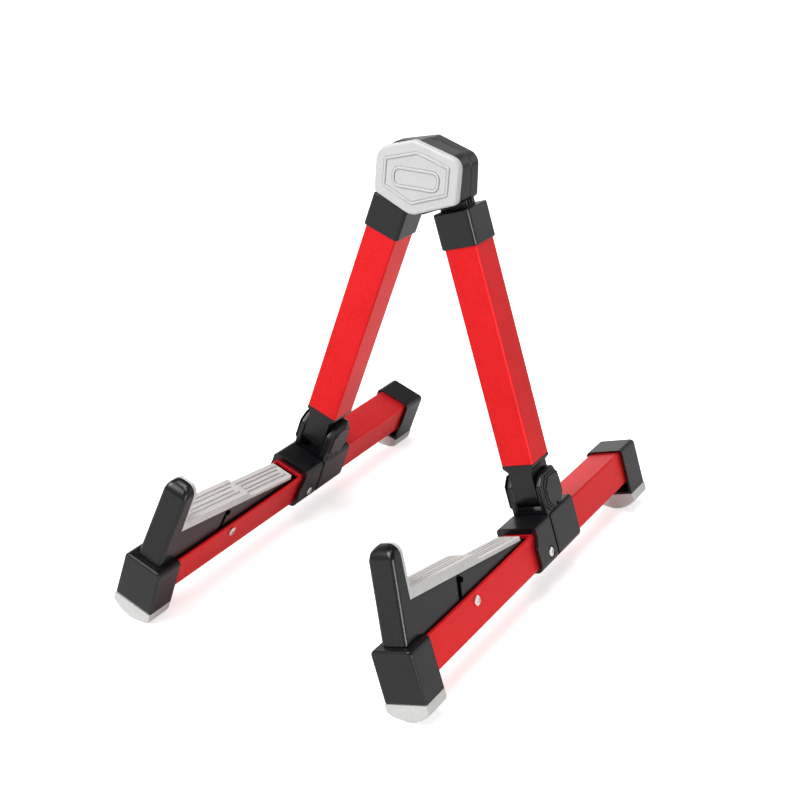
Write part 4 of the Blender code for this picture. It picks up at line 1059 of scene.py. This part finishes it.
def headCoverPiece():
    front, rear = hingeSpan("head_cover")
    face = front + cover["proud"]
    outline = hexOutline(head, apex=cover["apex"], point=cover["point"], soften=cover["soften"])
    obj = prism("head cover", slanted(outline), "v", face, rear)
    roundEdges(obj, cover["edge"], 5, lambda a, b: max(a.y, b.y) < face + hair)
    w, h, r = cover["badgeHalf"], cover["badgeRise"], cover["badgeCorner"]
    furrow = cover["furrow"]

    def badge(inset):
        return rectangle(-w + inset, w - inset, -h + inset, h - inset, r - inset, steps=10)

    def rim(inset):
        return hexOutline(cover["rim"], inset, point=cover["point"])

    for name, outline in (("rim", rim), ("badge frame", badge)):
        bottom = face + cover["furrowDepth"]
        outer, inner = outline(-furrow), outline(cover["line"] + furrow)
        combine(obj, ring(name + " furrow", outer, inner, face - cover["through"], bottom))
        band = ring(name, outline(0.0), outline(cover["line"]), front, face + cover["root"])
        roundEdges(band, cover["rimEdge"], 3, limit=60.0)
        combine(obj, band, "UNION")
    finishPiece(obj, headMatrix, "left_leg", "head_cover", "grey_plastic")


def hardwarePiece(part, outline, low, high, bore=0.0, shankEnd=None):
    obj = prism(part.replace("_", " "), outline, "v", low, high)
    roundEdges(obj, hardware["edge"], 2)
    if shankEnd is not None:
        join(obj, circle(0.0, 0.0, hardware["shank"]), "v", high - hardware["root"], shankEnd)
    if bore:
        cut(obj, circle(0.0, 0.0, bore), "v", low - overcut, high + overcut)
    finishPiece(obj, headMatrix, "left_leg", part, "zinc_steel")


# Assembly: each part, what makes it, its body and its finish

pieces = (
    ("leg_tube", legTube, "leg", "red_anodised"),
    ("base_tube", barTube, "base", "red_anodised"),
    ("front_cap", endCap, "base", "black_plastic"),
    ("front_foot", footPiece, "base", "grey_silicone"),
    ("rear_cap", endCap, "base", "black_plastic"),
    ("rear_foot", footPiece, "base", "grey_silicone"),
    ("collar_flange", flangePiece, "base", "black_plastic"),
    ("knee_bracket", bracketPiece, "base", "black_plastic"),
    ("knee_plug", plugPiece, "leg", "black_plastic"),
    ("knee_pin", kneePinPiece, "base", "zinc_steel"),
    ("knee_cover_inner", kneeCoverPiece, "base", "black_plastic"),
    ("knee_cover_outer", kneeCoverPiece, "base", "black_plastic"),
    ("arm_pivot_barrel", screwPiece, "base", "zinc_steel"),
    ("arm_pivot_screw", screwPiece, "base", "zinc_steel"),
    ("arm_rest_barrel", screwPiece, "base", "zinc_steel"),
    ("arm_rest_screw", screwPiece, "base", "zinc_steel"),
    ("cradle_arm", armPiece, "arm", "black_plastic"),
    ("cradle_pad", padPiece, "arm", "grey_silicone"),
)
labels = {
    "base_tube": "bar tube", "knee_cover_inner": "inner knee cover", "knee_cover_outer": "outer knee cover",
}
for side in sides:
    for part, make, body, slotName in pieces:
        label = labels.get(part, part.replace("_", " "))
        obj = make(side, f"{side.word} {label}", *side.box(part))
        finishPiece(obj, side.matrix, f"{side.word}_{body}", f"{side.word}_{part}", slotName)
    print("stage:", side.word, "side is built")
low, high = hingeSpan("head_cover")[1] + gap, leaf["frontHigh"]
leafPiece(sides[0], "front_hinge_leaf", low, high, low - overcut, low + leaf["recessDepth"])
low, high = leaf["rearLow"], leaf["rearHigh"]
leafPiece(sides[1], "rear_hinge_leaf", low, high, high - leaf["recessDepth"], high + overcut)
headCoverPiece()
hexagon = circle(0.0, 0.0, hardware["hex"], segments=6)
disc = circle(0.0, 0.0, hardware["washer"], segments=64)
low, end = hingeSpan("hinge_bolt")
hardwarePiece("hinge_bolt", hexagon, low, low + hardware["headHeight"], shankEnd=end)
hardwarePiece("hinge_washer", disc, *hingeSpan("hinge_washer"), bore=hardware["hole"])
hardwarePiece("hinge_nut", hexagon, *hingeSpan("hinge_nut"), bore=hardware["hole"])
print("stage: the head is built")


# Studio

paper = dict(
    reach=8.0, white=0.86, roughness=0.8, specular=0.1, glow=0.78, fullGlow=1.0,
    glowSpan=(0.5, 3.0), shade=0.75, shadeReach=0.04, shadeFrom=0.4,
)
room = dict(ambient=0.06, backdrop=0.95, backdropTop=(0.42, 0.54), side=0.3, sideSpan=(-0.3, 0.4))
lamps = {
    "key": dict(place=(-1.05, -1.45, 1.8), size=1.3, power=48.5),
    "side": dict(place=(2.0, -1.25, 0.35), size=0.9, power=10.0),
    "edge highlight": dict(
        place=(2.0, -1.3, 0.3), target=(0.0, 0.0, 0.15), size=1.1, power=32.0,
        tint=(0.88, 0.94, 1.0), gloss=True,
    ),
    "top": dict(place=(0.1, -0.1, 1.9), size=0.8, power=15.0),
}
view = dict(yaw=30.38, pitch=24.17, roll=0.97, lens=63.88, sensor=36.0, place=(0.3629, -0.6217, 0.4208))
plainWhite = (1.0, 1.0, 1.0, 1.0)


def addFloor():
    # White paper that glows for the camera alone, the glow rising with distance from the stand. Close to
    # the stand's undersides an occlusion term dims the glow: a painted contact shadow.
    mesh = bpy.data.meshes.new("floor")
    far = paper["reach"]
    mesh.from_pydata([(-far, -far, 0), (far, -far, 0), (far, far, 0), (-far, far, 0)], [], [(0, 1, 2, 3)])
    floor = addObject("floor", mesh)
    material, tree = newMaterial("white paper")
    distance = tree.node("VectorMath", {"operation": "LENGTH"}, Vector=tree.place())
    spread = tree.span(distance.outputs["Value"], *paper["glowSpan"], paper["glow"], paper["fullGlow"])
    # Painted contact shadow: ambient occlusion dims the camera-only glow next to the stand.
    near = tree.node("AmbientOcclusion", Distance=paper["shadeReach"]).outputs["AO"]
    paintedShadowGlow = tree.times(spread, tree.span(near, paper["shadeFrom"], 1.0, paper["shade"], 1.0))
    seen = tree.node("LightPath").outputs["Is Camera Ray"]
    tree.dress({
        "Base Color": (*[paper["white"]] * 3, 1.0),
        "Roughness": paper["roughness"],
        "Specular IOR Level": paper["specular"],
        "Emission Color": plainWhite,
        "Emission Strength": tree.times(seen, paintedShadowGlow),
    })
    mesh.materials.append(material)


def addLight(name, place, size, power, target=(0.0, 0.0, 0.1), tint=(1.0, 1.0, 1.0), gloss=False):
    # A gloss lamp shows in reflections only.
    data = bpy.data.lights.new(name, "AREA")
    data.shape = "DISK"
    data.size = size
    data.energy = power
    data.color = tint
    lamp = addObject(name, data)
    lamp.location = place
    lamp.rotation_euler = (Vector(target) - Vector(place)).to_track_quat("-Z", "Y").to_euler()
    lamp.visible_diffuse = not gloss


def addWorld():
    # A dark room with a white backdrop low round the rear; the camera sees plain white.
    world = bpy.data.worlds.new("white room")
    bpy.context.scene.world = world
    world.use_nodes = True
    tree = ShaderTree(world.node_tree)
    direction = tree.node("SeparateXYZ", Vector=tree.place("Generated")).outputs
    ends = (*room["backdropTop"], room["backdrop"], 0.0)
    below = tree.span(direction["Z"], *ends, interpolation_type="SMOOTHSTEP")
    behind = tree.span(direction["Y"], *room["sideSpan"], room["side"], 1.0)
    strength = tree.maths("MULTIPLY_ADD", below, behind, room["ambient"])
    lit = tree.first("Background", Color=plainWhite, Strength=strength)
    plain = tree.first("Background", Color=plainWhite)
    mix = tree.node("MixShader", Fac=tree.node("LightPath").outputs["Is Camera Ray"])
    tree.feed(mix.inputs[1], lit)
    tree.feed(mix.inputs[2], plain)
    tree.feed(world.node_tree.nodes["World Output"].inputs["Surface"], mix.outputs["Shader"])


def addCamera():
    yaw, pitch, roll = (radians(view[angle]) for angle in ("yaw", "pitch", "roll"))
    data = bpy.data.cameras.new("camera")
    data.lens = view["lens"]
    data.sensor_width = view["sensor"]
    camera = addObject("camera", data)
    turn = Matrix.Rotation(yaw, 4, "Z") @ Matrix.Rotation(pi / 2.0 - pitch, 4, "X")
    camera.matrix_world = Matrix.Translation(view["place"]) @ turn @ Matrix.Rotation(roll, 4, "Z")
    bpy.context.scene.camera = camera


addFloor()
addWorld()
addCamera()
for name, lamp in lamps.items():
    addLight(name, **lamp)
bpy.context.scene.view_settings.view_transform = "Standard"
print("stage: studio is set")
